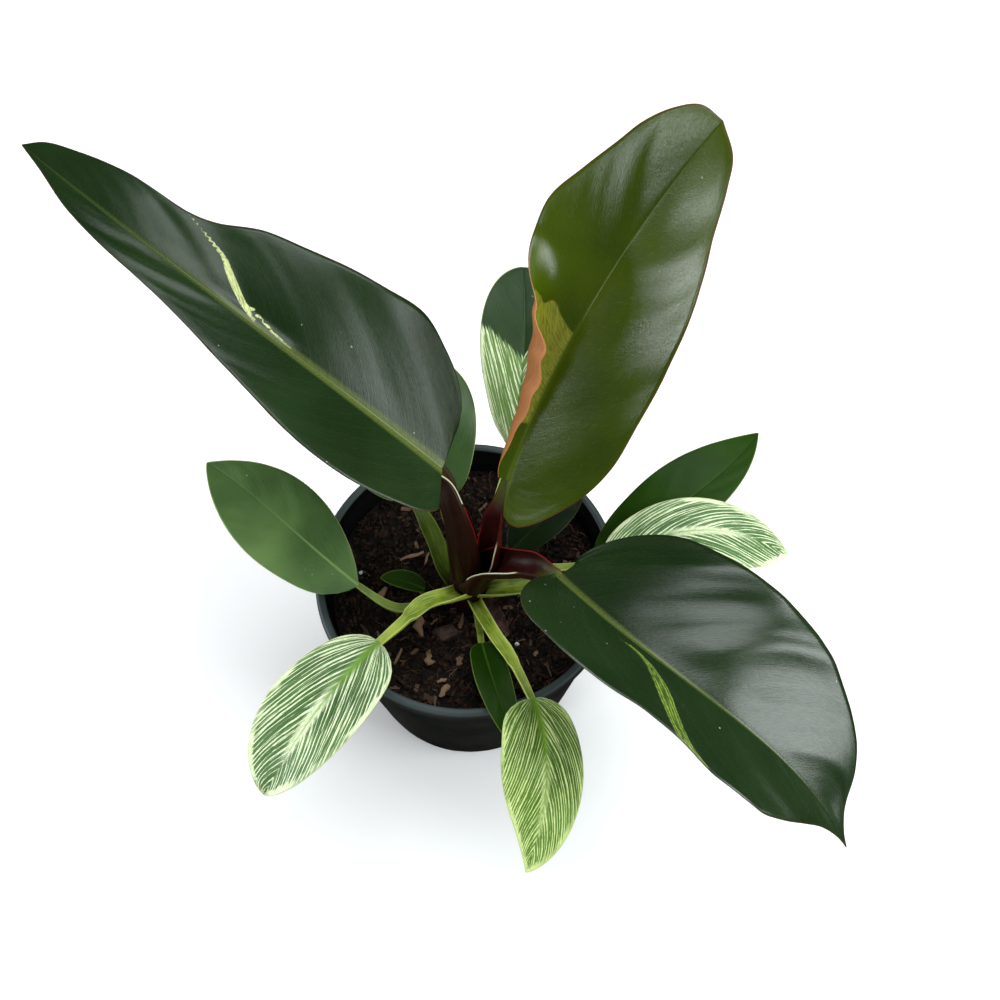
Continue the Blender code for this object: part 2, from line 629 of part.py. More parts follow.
def make_pot():
    lip = POT_HEIGHT - LIP_HEIGHT
    mouth = wall_radius(lip) - WALL
    floor_top = FLOOR_LIFT + FLOOR
    profile = [
        (0.0, 0.0), (PAD_RADIUS, 0.0), (PAD_RADIUS, FLOOR_LIFT), (FOOT_RADIUS - FOOT_WIDTH, FLOOR_LIFT), (FOOT_RADIUS - FOOT_WIDTH, 0.0),
        (FOOT_RADIUS, 0.0), (wall_radius(lip / 2), lip / 2), (wall_radius(lip), lip), (RIM_RADIUS, lip),
        (RIM_RADIUS, POT_HEIGHT - 0.8), (RIM_RADIUS - 0.8, POT_HEIGHT), (mouth + 0.6, POT_HEIGHT),
        (mouth, POT_HEIGHT - 0.6), (mouth, lip), (wall_radius(lip / 2) - WALL, lip / 2),
        (wall_radius(floor_top) - WALL, floor_top), (0.0, floor_top),
    ]
    pot = revolve("nursery_pot", profile, POT_SIDES, POT_BLACK)
    cutters = []
    for k in range(DRAIN_HOLES):
        angle = math.tau * (k + 0.5) / DRAIN_HOLES
        cx, cy = DRAIN_CIRCLE * math.cos(angle), DRAIN_CIRCLE * math.sin(angle)
        rings = [[(cx + DRAIN_RADIUS * math.cos(math.tau * i / 12), cy + DRAIN_RADIUS * math.sin(math.tau * i / 12), z)
                  for i in range(12)] for z in (FLOOR_LIFT - 1.0, floor_top + 1.0)]
        cutters.append(ring_solid("drain_cutter", rings, POT_BLACK))
    for k in range(FOOT_NOTCHES):
        angle = math.radians(NOTCH_START) + math.tau * k / FOOT_NOTCHES
        middle = FOOT_RADIUS - FOOT_WIDTH / 2
        cutters.append(box("notch_cutter", (middle * math.cos(angle), middle * math.sin(angle), 0.0),
                           (FOOT_WIDTH * 4, NOTCH_WIDTH, NOTCH_HEIGHT * 2), angle, POT_BLACK))
    apply_boolean(pot, gather("pot_cuts", cutters), "DIFFERENCE")
    return pot


def soil_height(x, y):
    # gentle unevenness, a little higher toward the wall
    swell = math.sin(x * 0.17 + 1.0) * math.cos(y * 0.21 - 0.5) + 0.6 * math.sin(x * 0.31 - y * 0.27)
    return SOIL_LEVEL + SOIL_BUMP * (0.5 * swell + 0.5 * (math.hypot(x, y) / RIM_RADIUS) ** 2)


def make_soil():
    chance = random.Random(SOIL_SEED)
    floor_top = FLOOR_LIFT + FLOOR + GAP
    outline = [wall_radius(z) - WALL - GAP for z in (floor_top, SOIL_LEVEL)]
    points = [(0.0, 0.0, floor_top), (0.0, 0.0, soil_height(0.0, 0.0))]
    side_rows = 2
    for k in range(POT_SIDES):
        angle = math.tau * k / POT_SIDES
        points.append((outline[0] * math.cos(angle), outline[0] * math.sin(angle), floor_top))
    for ring in range(SOIL_RINGS, 0, -1):
        radius = outline[1] * ring / SOIL_RINGS
        for k in range(POT_SIDES):
            angle = math.tau * k / POT_SIDES
            x, y = radius * math.cos(angle), radius * math.sin(angle)
            rough = 0.0 if ring == SOIL_RINGS else chance.uniform(-0.5, 0.5)
            points.append((x, y, soil_height(x, y) + rough))
    faces = []
    for row in range(SOIL_RINGS):
        for k in range(POT_SIDES):
            a, b = side_rows + row * POT_SIDES + k, side_rows + row * POT_SIDES + (k + 1) % POT_SIDES
            faces.append((a, b, b + POT_SIDES, a + POT_SIDES))
    for k in range(POT_SIDES):
        faces.append((0, side_rows + (k + 1) % POT_SIDES, side_rows + k))
        last = side_rows + SOIL_RINGS * POT_SIDES
        faces.append((1, last + k, last + (k + 1) % POT_SIDES))
    return make_object("soil", points, faces, SOIL_BROWN, 30.0)


def make_chips():
    # bark chips and crumbs, half sunk in the soil and clear of the stem and the low leaves
    chance = random.Random(CHIP_SEED)
    chips = []
    while len(chips) < CHIP_COUNT:
        radius = 50.0 * math.sqrt(chance.random())
        turn = math.tau * chance.random()
        x, y = radius * math.cos(turn), radius * math.sin(turn)
        if abs(x) < 24.0 and -31.0 < y < 12.0:
            continue
        size = (chance.uniform(3.0, 7.5), chance.uniform(2.0, 3.6), chance.uniform(1.6, 3.0))
        chips.append(box("chip", (x, y, soil_height(x, y) + 0.7), size, chance.uniform(0.0, math.pi), SOIL_BROWN))
    return chips


def main():
    clear_scene()
    for name, leaf in BIG_LEAVES.items():
        prepare_leaf(leaf)
        strips = {"right": (0.0, 0.1, 0.37, 0.68, 1.0), "left": (0.0, 0.1, 0.37, 0.68, 1.0)}
        if name == "leaf_large_upright":
            strips["left"] = (0.0, 0.1, 0.3, 0.5, 0.64, 0.76, 0.88, 1.0)
        blade_solid(name, leaf, BIG_THICKNESS, BIG_KEEL, 10, 24, strips)
    for name, leaf in SMALL_LEAVES.items():
        prepare_leaf(leaf)
        strips = {"right": (0.0, 0.5, 1.0), "left": (0.0, 0.5, 1.0)}
        blade_solid(name, leaf, SMALL_THICKNESS, SMALL_KEEL, 14, 14, strips)

    # one stem with the three large stalks fused to it, and the space that clears them
    big_paths = {}
    for name, stalk in BIG_STALKS.items():
        big_paths[name] = stalk_path(BIG_LEAVES[name], stalk, BIG_THICKNESS, BIG_KEEL, 8.0)
    stem = stem_body("stem", 0.0)
    stalks = [ring_solid("stalk", stalk_rings(BIG_STALKS[n], p, 12), MAROON) for n, p in big_paths.items()]
    apply_boolean(stem, gather("large_stalks", stalks), "UNION")
    for name, stalk in SMALL_STALKS.items():
        path = stalk_path(SMALL_LEAVES[name], stalk, SMALL_THICKNESS, SMALL_KEEL, 0.0 if name == "leaf_seedling" else 4.0)
        item = ring_solid(name.replace("leaf", "stalk"), stalk_rings(stalk, path, 10), LIME)
        if name != "leaf_seedling":
            clear_of_stem(item, big_paths)
    scale = ring_solid("dry_scale", stalk_rings(DRY_SCALE, DRY_SCALE["path"], 6), DRY_RED)
    clear_of_stem(scale, big_paths)

    make_pot()
    soil = make_soil()
    apply_boolean(soil, gather("chips", make_chips()), "UNION")
    seedling = SMALL_STALKS["leaf_seedling"]
    path = stalk_path(SMALL_LEAVES["leaf_seedling"], seedling, SMALL_THICKNESS, SMALL_KEEL, 0.0)
    hole = ring_solid("hole", stalk_rings(seedling, path, 10, GAP), SOIL_BROWN)
    apply_boolean(soil, gather("holes", [stem_body("hole", GAP), hole]), "DIFFERENCE")


main()
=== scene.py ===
# Philodendron birkin in its black nursery pot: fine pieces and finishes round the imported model.
# Sizes in the dictionaries are in millimetres and degrees, and mm turns them into metres.
import math
import random

import bmesh
import bpy
import numpy as np
from mathutils import Matrix, Vector, noise


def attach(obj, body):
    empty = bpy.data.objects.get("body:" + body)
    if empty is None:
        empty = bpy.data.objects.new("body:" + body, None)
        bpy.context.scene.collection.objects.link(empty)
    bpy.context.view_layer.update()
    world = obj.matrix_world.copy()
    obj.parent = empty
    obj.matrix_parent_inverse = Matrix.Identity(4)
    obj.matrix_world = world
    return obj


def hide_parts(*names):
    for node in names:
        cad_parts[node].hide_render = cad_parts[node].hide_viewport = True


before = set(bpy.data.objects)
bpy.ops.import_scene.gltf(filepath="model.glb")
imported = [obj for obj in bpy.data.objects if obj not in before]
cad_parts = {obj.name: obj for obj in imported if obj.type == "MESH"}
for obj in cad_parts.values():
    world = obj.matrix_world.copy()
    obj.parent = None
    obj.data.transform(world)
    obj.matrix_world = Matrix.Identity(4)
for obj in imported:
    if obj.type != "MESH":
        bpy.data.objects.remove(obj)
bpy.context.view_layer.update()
mm = 0.001
body = "root"
tau = math.tau


def addNode(tree, kind, values=None, **settings):
    # values: a socket to link or a constant to set, for each input's name or number
    made = tree.nodes.new(kind)
    for key, value in settings.items():
        setattr(made, key, value)
    for key, value in (values or {}).items():
        if isinstance(value, bpy.types.NodeSocket):
            tree.links.new(value, made.inputs[key])
        else:
            made.inputs[key].default_value = value
    return made


def maths(tree, operation, first, second=0.0):
    return addNode(tree, "ShaderNodeMath", {0: first, 1: second}, operation=operation).outputs[0]


def times(tree, first, second):
    return maths(tree, "MULTIPLY", first, second)


def plus(tree, first, second):
    return maths(tree, "ADD", first, second)


def stepUp(tree, value, low, high, start=0.0, end=1.0):
    # eased from start to end while value goes from low to high
    ends = {"Value": value, "From Min": low, "From Max": high, "To Min": start, "To Max": end}
    return addNode(tree, "ShaderNodeMapRange", ends, interpolation_type="SMOOTHSTEP").outputs["Result"]


def blendColour(tree, share, first, second, kind="MIX"):
    made = addNode(tree, "ShaderNodeMix", {0: share, 6: first, 7: second}, data_type="RGBA", blend_type=kind)
    return made.outputs[2]


def noiseValue(tree, vector, scale, detail=2.0, roughness=0.5):
    values = {"Vector": vector, "Scale": scale, "Detail": detail, "Roughness": roughness}
    return addNode(tree, "ShaderNodeTexNoise", values).outputs["Fac"]


def grainValue(tree, along, across, scales, start=0.0, detail=3.0, roughness=0.6):
    # noise drawn out along a blade's veins or a stalk's length
    drawn = {0: times(tree, along, scales[0]), 1: times(tree, across, scales[1]), 2: start}
    return noiseValue(tree, addNode(tree, "ShaderNodeCombineXYZ", drawn).outputs[0], 1.0, detail, roughness)


def objectPlace(tree):
    return addNode(tree, "ShaderNodeTexCoord").outputs["Object"]


def uvPlace(tree):
    uv = addNode(tree, "ShaderNodeUVMap", uv_map="UVMap").outputs["UV"]
    return addNode(tree, "ShaderNodeSeparateXYZ", {0: uv}).outputs[:2]


def floatAttribute(tree, name):
    return addNode(tree, "ShaderNodeAttribute", attribute_name=name).outputs["Fac"]


def newMaterial(name):
    material = bpy.data.materials.new(name)
    material.use_nodes = True
    tree = material.node_tree
    tree.nodes.clear()
    shader = addNode(tree, "ShaderNodeBsdfPrincipled")
    addNode(tree, "ShaderNodeOutputMaterial", {"Surface": shader.outputs[0]})
    return material, tree, shader


def finishShader(tree, shader, colour, roughness, specular=0.5):
    # colour is a socket, roughness a socket or a constant
    tree.links.new(colour, shader.inputs["Base Color"])
    if isinstance(roughness, bpy.types.NodeSocket):
        tree.links.new(roughness, shader.inputs["Roughness"])
    else:
        shader.inputs["Roughness"].default_value = roughness
    shader.inputs["Specular IOR Level"].default_value = specular


def setBump(tree, shader, height, strength, distance):
    bump = addNode(tree, "ShaderNodeBump", {"Height": height, "Strength": strength, "Distance": distance})
    tree.links.new(bump.outputs["Normal"], shader.inputs["Normal"])


def rgb(red, green, blue):
    return (red, green, blue, 1.0)


def ease(x, stations):
    # value at x between (place, value) stations, eased from each to the next
    places = [s[0] for s in stations]
    values = np.array([s[1] for s in stations], dtype=float)
    share = np.interp(x, places, np.arange(len(places)))
    low = np.minimum(np.floor(share).astype(int), len(places) - 2)
    part = share - low
    part = part * part * (3.0 - 2.0 * part)
    return values[low] + (values[low + 1] - values[low]) * part


def smoothShare(x, low, high):
    t = np.clip((x - low) / (high - low), 0.0, 1.0)
    return t * t * (3.0 - 2.0 * t)


def unit(vectors):
    return vectors / np.maximum(np.linalg.norm(vectors, axis=-1, keepdims=True), 1e-12)


def bezier(handles, t):
    handles = np.array(handles, dtype=float)
    t = np.asarray(t, dtype=float)[:, None]
    order = len(handles) - 1
    point = sum(math.comb(order, i) * (1 - t) ** (order - i) * t ** i * handles[i] for i in range(order + 1))
    slope = sum(order * math.comb(order - 1, i) * (1 - t) ** (order - 1 - i) * t ** i
                * (handles[i + 1] - handles[i]) for i in range(order))
    return point, slope


def smoothCurve(points, samples):
    # centripetal curve through the points, read evenly along its length
    points = np.array(points, dtype=float)
    knots = np.vstack([2 * points[0] - points[1], points, 2 * points[-1] - points[-2]])
    times = np.concatenate([[0.0], np.cumsum(np.sqrt(np.linalg.norm(np.diff(knots, axis=0), axis=1)))])
    curve = []
    for i in range(1, len(knots) - 2):
        t0, t1, t2, t3 = times[i - 1:i + 3]
        p0, p1, p2, p3 = knots[i - 1:i + 3]
        for t in np.linspace(t1, t2, 24, endpoint=False):
            a1 = (t1 - t) / (t1 - t0) * p0 + (t - t0) / (t1 - t0) * p1
            a2 = (t2 - t) / (t2 - t1) * p1 + (t - t1) / (t2 - t1) * p2
            a3 = (t3 - t) / (t3 - t2) * p2 + (t - t2) / (t3 - t2) * p3
            b1 = (t2 - t) / (t2 - t0) * a1 + (t - t0) / (t2 - t0) * a2
            b2 = (t3 - t) / (t3 - t1) * a2 + (t - t1) / (t3 - t1) * a3
            curve.append((t2 - t) / (t2 - t1) * b1 + (t - t1) / (t2 - t1) * b2)
    curve.append(points[-1])
    curve = np.array(curve)
    lengths = np.concatenate([[0.0], np.cumsum(np.linalg.norm(np.diff(curve, axis=0), axis=1))])
    even = np.linspace(0.0, lengths[-1], samples)
    return np.stack([np.interp(even, lengths, curve[:, k]) for k in range(points.shape[1])], axis=1)


def tubeFaces(rings, count, start=0):
    # the faces between rings of count points each
    faces = []
    for i in range(rings - 1):
        for j in range(count):
            a, b = start + i * count + j, start + i * count + (j + 1) % count
            faces.append((a, b, b + count, a + count))
    return faces


def addMesh(name, points, faces, materials, choice=None, uv=None, attributes=None, turn=False):
    # points in millimetres; uv is one pair a point; choice gives each face its material
    mesh = bpy.data.meshes.new(name)
    mesh.from_pydata((np.asarray(points, dtype=float) * mm).tolist(), [],
                     [tuple(int(i) for i in f) for f in faces])
    for material in materials:
        mesh.materials.append(material)
    if choice is not None:
        mesh.polygons.foreach_set("material_index", np.asarray(choice, dtype=np.int32))
    if uv is not None:
        layer = mesh.uv_layers.new(name="UVMap")
        corners = np.zeros(len(mesh.loops), dtype=np.int32)
        mesh.loops.foreach_get("vertex_index", corners)
        layer.data.foreach_set("uv", np.asarray(uv, dtype=np.float32)[corners].ravel())
    for key, values in (attributes or {}).items():
        made = mesh.attributes.new(key, "FLOAT", "POINT")
        made.data.foreach_set("value", np.asarray(values, dtype=np.float32))
    piece = bpy.data.objects.new(name, mesh)
    bpy.context.scene.collection.objects.link(piece)
    if turn:
        work = bmesh.new()
        work.from_mesh(mesh)
        bmesh.ops.recalc_face_normals(work, faces=work.faces)
        work.to_mesh(mesh)
        work.free()
    mesh.shade_smooth()
    return piece


def settle(piece, slotName, *nodes):
    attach(piece, body)
    if nodes:
        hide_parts(*nodes)


largeBlades = {
    "leaf_large_left": {
        "midrib": [(-8, 14, 145), (-53, 30, 191), (-103, 57, 213), (-158, 113, 205)],
        "right": [(0, 0), (2, 10), (6, 21), (14, 29), (25, 35), (39, 40), (57, 38), (70, 36), (86, 32),
                  (101, 28), (115, 21), (126, 18), (140, 17), (154, 16), (176, 11), (191, 6), (198, 0)],
        "left": [(0, 0), (-1, 8), (-2, 18), (4, 24), (14, 28), (32, 32), (51, 31), (82, 22), (111, 15),
                 (146, 11), (162, 8), (182, 3), (198, 0)],
        "roll": [(0, 0), (198, 0)],
        "foldRight": [(0, 20), (198, 12)],
        "foldLeft": [(0, 20), (198, 12)],
        "look": "darkBlade",
        "marks": [
            {"line": [(128, 17.5), (118, 15.5), (106, 12.5), (102, 10), (95, 6), (89, 3), (83, 0.8)],
             "width": [0.3, 0.45, 0.85, 1.25, 1.3, 0.95, 0.4], "side": 1},
            {"line": [(90, 5), (82, 3), (75, 1.6), (68, 1.2)], "width": [0.35, 0.5, 0.5, 0.35], "side": 1},
        ],
        "furrows": [{"line": [(134, 19), (118, 15.5), (102, 10), (89, 3), (75, 1)], "side": 1, "depth": 1.3,
                     "width": 6.5}],
        "swells": [(0.42, 47.0, 0.4), (0.07, 16.5, 1.1), (0.022, 6.4, 2.0)],
    },
    "leaf_large_upright": {
        "midrib": [(16, 12, 140), (32, 39, 184), (54, 56, 220), (79, 64, 262)],
        "right": [(0, 0), (-8, 1), (-14, 3), (-16, 8), (-13, 13), (-5, 20), (8, 28), (27, 34), (50, 36),
                  (74, 36), (94, 34), (112, 28), (125, 22), (137, 16), (144, 11), (148, 0)],
        "left": [(0, 0), (-1, 3), (2, 5), (10, 9), (27, 14), (45, 21), (60, 27), (72, 28), (82, 28), (97, 30),
                 (110, 26), (122, 22), (132, 19), (141, 14), (147, 8), (148, 0)],
        "roll": [(0, 20), (148, 20)],
        "foldRight": [(0, 18), (148, 12)],
        "foldLeft": [(0, 22), (148, 12)],
        "curlLeft": [(0, 700), (14, 640), (28, 520), (42, 350), (56, 215), (70, 130), (88, 0), (148, 0)],
        "curlRight": [(0, 0), (45, 10), (100, 15), (148, 15)],
        "curlPower": 1.7,
        "swells": [(0.34, 43.0, 0.4), (0.05, 16.5, 1.1), (0.02, 6.4, 2.0)],
        "look": "oliveBlade",
        "marks": [
            {"edge": [(0, 62), (4, 64), (8, 67), (11, 70), (13.5, 71), (16, 69), (20, 72), (26, 75)],
             "from": 24.0, "side": -1},
        ],
    },
    "leaf_large_right": {
        "midrib": [(34, -21, 128), (73, -80, 163), (111, -84, 134), (133, -109, 95)],
        "right": [(0, 0), (0, 8), (5, 17), (13, 27), (21, 32), (30, 33), (40, 33), (50, 31), (60, 27),
                  (70, 26), (84, 30), (98, 28), (110, 22), (134, 7), (146, 2), (154, 0)],
        "left": [(0, 0), (-1, 8), (0, 17), (7, 28), (19, 37), (30, 41), (44, 43), (60, 44), (76, 44),
                 (90, 42), (104, 38), (117, 32), (126, 26), (133, 18), (139, 8), (147, 2), (154, 0)],
        "roll": [(0, -15), (154, -10)],
        "foldRight": [(0, 25), (154, 15)],
        "foldLeft": [(0, 25), (154, 15)],
        "look": "streakedBlade",
        "marks": [
            {"line": [(37, 4.5), (43, 4), (49, 5), (54, 7.5), (60, 12.5), (65, 18), (69, 22.5), (74, 27),
                      (80, 29.5)],
             "width": [0.3, 0.7, 1.1, 1.9, 2.4, 2.1, 1.7, 1.4, 0.9], "side": 1},
        ],
        "swells": [(1.15, 47.0, 1.2), (0.16, 17.0, 1.3), (0.035, 6.4, 2.0)],
        "furrows": [{"line": [(30, 3), (49, 5), (60, 12.5), (69, 22.5), (80, 29.5)], "side": 1,
                     "depth": 0.8, "width": 5.0}],
    },
}
smallBlades = {
    "leaf_small_left": {
        "midrib": [(-41, -11, 100), (-65, 3, 115), (-79, 20, 115), (-103, 38, 110)],
        "halfWidth": (16.5, 18.5), "base": (0.9, 0.7), "tip": (1.0, 0.85), "lobe": (0.0, 0.03),
        "roll": [(0, -12), (81, -6)], "fold": [(0, 11), (81, 6)], "look": "freshBlade",
    },
    "leaf_striped_left": {
        "midrib": [(-32, -35, 102), (-49, -58, 112), (-60, -73, 103), (-73, -87, 82)],
        "halfWidth": (18.0, 17.0), "base": (0.60, 0.54), "tip": (0.5, 0.8), "lobe": (0.01, 0.03),
        "roll": [(0, -14), (75, 5)], "fold": [(0, 14), (75, 11)], "look": "creamStripes",
    },
    "leaf_striped_front": {
        "midrib": [(25, -57, 102), (33, -82, 107), (29, -100, 98), (22, -114, 80)],
        "halfWidth": (17.3, 13.2), "base": (0.55, 0.62), "tip": (1.1, 0.8), "lobe": (0.03, 0.03),
        "roll": [(0, -7), (66, 8)], "fold": [(0, 24), (66, 5)], "look": "limeStripes",
    },
    "leaf_striped_right": {
        "midrib": [(51, -7, 105), (73, 5, 120), (96, 7, 122), (122, -3, 110)],
        "halfWidth": (20.0, 14.0), "base": (0.65, 0.70), "tip": (0.7, 0.8), "lobe": (0.04, 0.02),
        "roll": [(0, -12), (78, -4)], "fold": [(0, 17), (78, 5)], "look": "creamStripes",
    },
    "leaf_plain_right": {
        "midrib": [(48, 2, 94), (69, 9, 112), (96, 21, 118), (116, 50, 113)],
        "halfWidth": (12.0, 16.0), "base": (0.8, 0.95), "tip": (1.0, 0.95), "lobe": (0.03, 0.02),
        "roll": [(0, 2), (90, 0)], "fold": [(0, 14), (90, 8)], "look": "deepBlade",
    },
    "leaf_dark_front": {
        "midrib": [(6, -29, 86), (9, -43, 92.5), (13, -57, 97.5), (20, -73, 88)],
        "halfWidth": (7.0, 7.0), "base": (0.45, 0.45), "tip": (0.8, 0.8), "lobe": (0.03, 0.03),
        "roll": [(0, -4), (46, 0)], "fold": [(0, 20), (46, 12)], "look": "deepBlade",
    },
    "leaf_striped_back": {
        "midrib": [(17, 34, 125), (22, 48, 147), (23, 67, 158), (22, 95, 160)],
        "halfWidth": (17.0, 17.0), "base": (0.8, 0.9), "tip": (0.65, 0.6), "lobe": (0.03, 0.02),
        "roll": [(0, -5), (74, 3)], "fold": [(0, 16), (74, 12)], "look": "halfStriped",
    },
    "leaf_green_back": {
        "midrib": [(-9, 15, 118), (-9, 30, 132), (-11, 50, 137), (-13, 70, 134)],
        "halfWidth": (14.5, 14.5), "base": (0.65, 0.65), "tip": (0.6, 0.6), "lobe": (0.02, 0.03),
        "roll": [(0, 0), (62, 6)], "fold": [(0, 16), (62, 9)], "look": "plainBlade",
    },
    "leaf_under_left": {
        "midrib": [(-20, 16, 122), (-32, 24, 132), (-46, 36, 137), (-60, 50, 132)],
        "halfWidth": (13.0, 13.0), "base": (0.62, 0.62), "tip": (0.8, 0.8), "lobe": (0.04, 0.04),
        "roll": [(0, 0), (56, 0)], "fold": [(0, 16), (56, 9)], "look": "plainBlade",
    },
    "leaf_under_upright": {
        "midrib": [(17, 7, 94), (25, 12, 101), (34, 19, 104), (46, 30, 101)],
        "halfWidth": (9.0, 9.0), "base": (0.6, 0.6), "tip": (0.8, 0.8), "lobe": (0.03, 0.03),
        "roll": [(0, 0), (40, 0)], "fold": [(0, 16), (40, 9)], "look": "shadedBlade",
    },
    "leaf_seedling": {
        "midrib": [(-17, -3, 79), (-23, -1, 82), (-29, 0, 83), (-35, 1, 82)],
        "halfWidth": (4.8, 3.6), "base": (0.61, 0.62), "tip": (0.78, 0.75), "lobe": (0.02, 0.02),
        "roll": [(0, 0), (19, 0)], "fold": [(0, 18), (19, 12)], "look": "deepBlade",
    },
}
bladeForm = {
    "veinSlant": 0.75,      # how far a side vein runs forward for each millimetre outward
    "veinArch": 0.16,       # how much more it bends forward near the margin, as a share of the length
    "fanReach": 0.3,        # the fan round the junction ends at this share of the half width
    "large": {"thickness": 0.7, "keel": 1.1, "ribWidth": 2.4, "groove": 0.09, "grain": 0.75},
    "small": {"thickness": 0.5, "keel": 0.55, "ribWidth": 1.1, "groove": 0.14, "grain": 2.2,
              "swells": [(0.16, 15.0, 0.8), (0.05, 4.6, 0.3)]},      # height, period along the midrib, start
}


def midribLengths(blade):
    t = np.linspace(0.0, 1.0, 256)
    steps = np.linalg.norm(np.diff(bezier(blade["midrib"], t)[0], axis=0), axis=1)
    return t, np.concatenate([[0.0], np.cumsum(steps)])


def midribFrame(blade, x):
    t, lengths = midribLengths(blade)
    inside = np.clip(x, 0.0, lengths[-1])
    point, slope = bezier(blade["midrib"], np.interp(inside, lengths, t))
    forward = unit(slope)
    point = point + forward * (x - inside)[:, None]
    right = unit(np.cross(forward, [0.0, 0.0, 1.0]))
    upward = np.cross(right, forward)
    roll = np.radians(ease(inside, blade["roll"]))[:, None]
    cos, sin = np.cos(roll), np.sin(roll)
    return point, forward, right * cos - upward * sin, upward * cos + right * sin


def bladePoints(blade, x, y, side):
    word = "Right" if side > 0 else "Left"
    point, forward, right, upward = midribFrame(blade, x)
    fold = np.radians(ease(x, blade["fold" + word]))
    curl = np.radians(ease(x, blade["curl" + word]))
    steps = (np.arange(24) + 0.5) / 24
    outward = (y[:, None] * steps / blade["reach" + word]) ** blade.get("curlPower", 2.0)
    slopes = fold[:, None] + curl[:, None] * outward
    out = y * np.cos(slopes).mean(axis=1)
    rise = y * np.sin(slopes).mean(axis=1)
    return point + right * (side * out)[:, None] + upward * rise[:, None]


def formulaMargin(length, halfWidth, base, tip, lobe):
    u = 0.5 - 0.5 * np.cos(np.linspace(0.0, math.pi, 400))
    widest = base / (base + tip)
    y = halfWidth * u ** base * (1.0 - u) ** tip / (widest ** base * (1.0 - widest) ** tip)
    x = length * (u - lobe * np.sin(math.pi * np.minimum(u / 0.35, 1.0)) ** 2)
    return np.stack([x, y], axis=1)


def prepareBlade(blade):
    length = midribLengths(blade)[1][-1]
    blade["length"] = length
    for index, word in enumerate(("Right", "Left")):
        if "right" in blade:
            drawn = blade[word.lower()]
            blade["margin" + word] = smoothCurve([(x * length / drawn[-1][0], y) for x, y in drawn], 600)
        else:
            shape = (blade[key][index] for key in ("halfWidth", "base", "tip", "lobe"))
            blade["margin" + word] = formulaMargin(length, *shape)
            blade["fold" + word] = blade["fold"]
        blade.setdefault("curl" + word, [(0, 0), (length, 0)])
        blade["reach" + word] = blade["margin" + word][:, 1].max()


def bladeRows(blade, word, fanStep, columns):
    # (foot on the midrib, margin point, vein number) for a fan round the junction, then each side vein
    margin = blade["margin" + word]
    slant = bladeForm["veinSlant"]
    feet = margin[:, 0] - slant * margin[:, 1]
    reach = blade["reach" + word]
    start = int(np.argmax((feet > 0.0) & (margin[:, 1] > bladeForm["fanReach"] * reach)))
    near = int(np.argmax(np.hypot(margin[:, 0], margin[:, 1]) > 0.5 * bladeForm["fanReach"] * reach))
    angles = np.degrees(np.arctan2(margin[near:start + 1, 1], margin[near:start + 1, 0]))
    first = int(np.max(np.nonzero(angles > angles.max() - 3.0)))
    falling = np.minimum.accumulate(angles[first:])
    rows = []
    for angle in np.linspace(falling[0], falling[-1], 1 + int((falling[0] - falling[-1]) / fanStep)):
        place = near + first + np.interp(-angle, -falling, np.arange(len(falling)))
        rows.append((0.0, place, (falling[-1] - angle) * reach * 0.006))
    rising = np.maximum.accumulate(feet[start:])
    even = np.arange(1, columns + 1) / columns
    for foot in blade["length"] * (0.7 * even + 0.15 - 0.15 * np.cos(math.pi * even)):
        rows.append((foot, start + np.interp(foot, rising, np.arange(len(rising))), foot))
    made = []
    for foot, place, vein in rows:
        edge = [np.interp(place, np.arange(len(margin)), margin[:, i]) for i in range(2)]
        made.append((foot, edge[0], edge[1], vein))
    return made


def markValue(blade, side, x, y):
    # 1 on a mark's middle line and 0.5 at its edge, falling to 0 beyond it
    value = np.zeros(len(x))
    for mark in blade.get("marks", []):
        if mark["side"] != side:
            continue
        if "edge" in mark:
            outward = np.interp(y, [e[0] for e in mark["edge"]], [e[1] for e in mark["edge"]])
            begun = smoothShare(x, mark["from"] - 6.0, mark["from"] + 6.0)
            here = np.clip(0.5 + (outward - x) / 8.0, 0.0, 1.0) * begun
        else:
            line = smoothCurve([(a, b, w) for (a, b), w in zip(mark["line"], mark["width"])], 80)
            away = np.hypot(x[:, None] - line[None, :, 0], y[:, None] - line[None, :, 1])
            nearest = away.argmin(axis=1)
            here = np.clip(1.0 - 0.5 * away.min(axis=1) / np.maximum(line[nearest, 2], 0.1), 0.0, 1.0)
        value = np.maximum(value, here)
    return value


def bladeNet(blade, fanStep, columns, strips):
    # the blade's points, row by row from the midrib out to the margin, and the faces between them
    length = blade["length"]
    keys, faces = {}, []
    net = {"side": [], "x": [], "y": [], "vein": [], "share": [], "edge": []}

    def point(row, place, last, values):
        side, x = values[:2]
        key = (side, row, place)
        if place == 0 or row == last:      # both halves share the midrib's points and the tip
            key = ("rib", round(x if place == 0 else length, 3))
        if key not in keys:
            keys[key] = len(net["x"])
            for word, value in zip(net, values):
                net[word].append(value)
        return keys[key]

    for side, word in ((1, "Right"), (-1, "Left")):
        rows = bladeRows(blade, word, fanStep, columns)
        ids = []
        for r, (foot, edgeX, edgeY, vein) in enumerate(rows):
            run = math.hypot(edgeX - foot, edgeY)
            ids.append([])
            for p, v in enumerate(strips):
                arched = vein - bladeForm["veinArch"] * length * v * v
                values = (side, foot + (edgeX - foot) * v, edgeY * v, arched, v, run * (1.0 - v))
                ids[r].append(point(r, p, len(rows) - 1, values))
        for r in range(len(ids) - 1):
            for p in range(len(strips) - 1):
                corners = []
                for i in (ids[r][p], ids[r + 1][p], ids[r + 1][p + 1], ids[r][p + 1]):
                    if i not in corners:
                        corners.append(i)
                if len(corners) > 2:
                    faces.append(tuple(corners[::-1] if side > 0 else corners))
    return {word: np.array(values, dtype=float) for word, values in net.items()}, faces


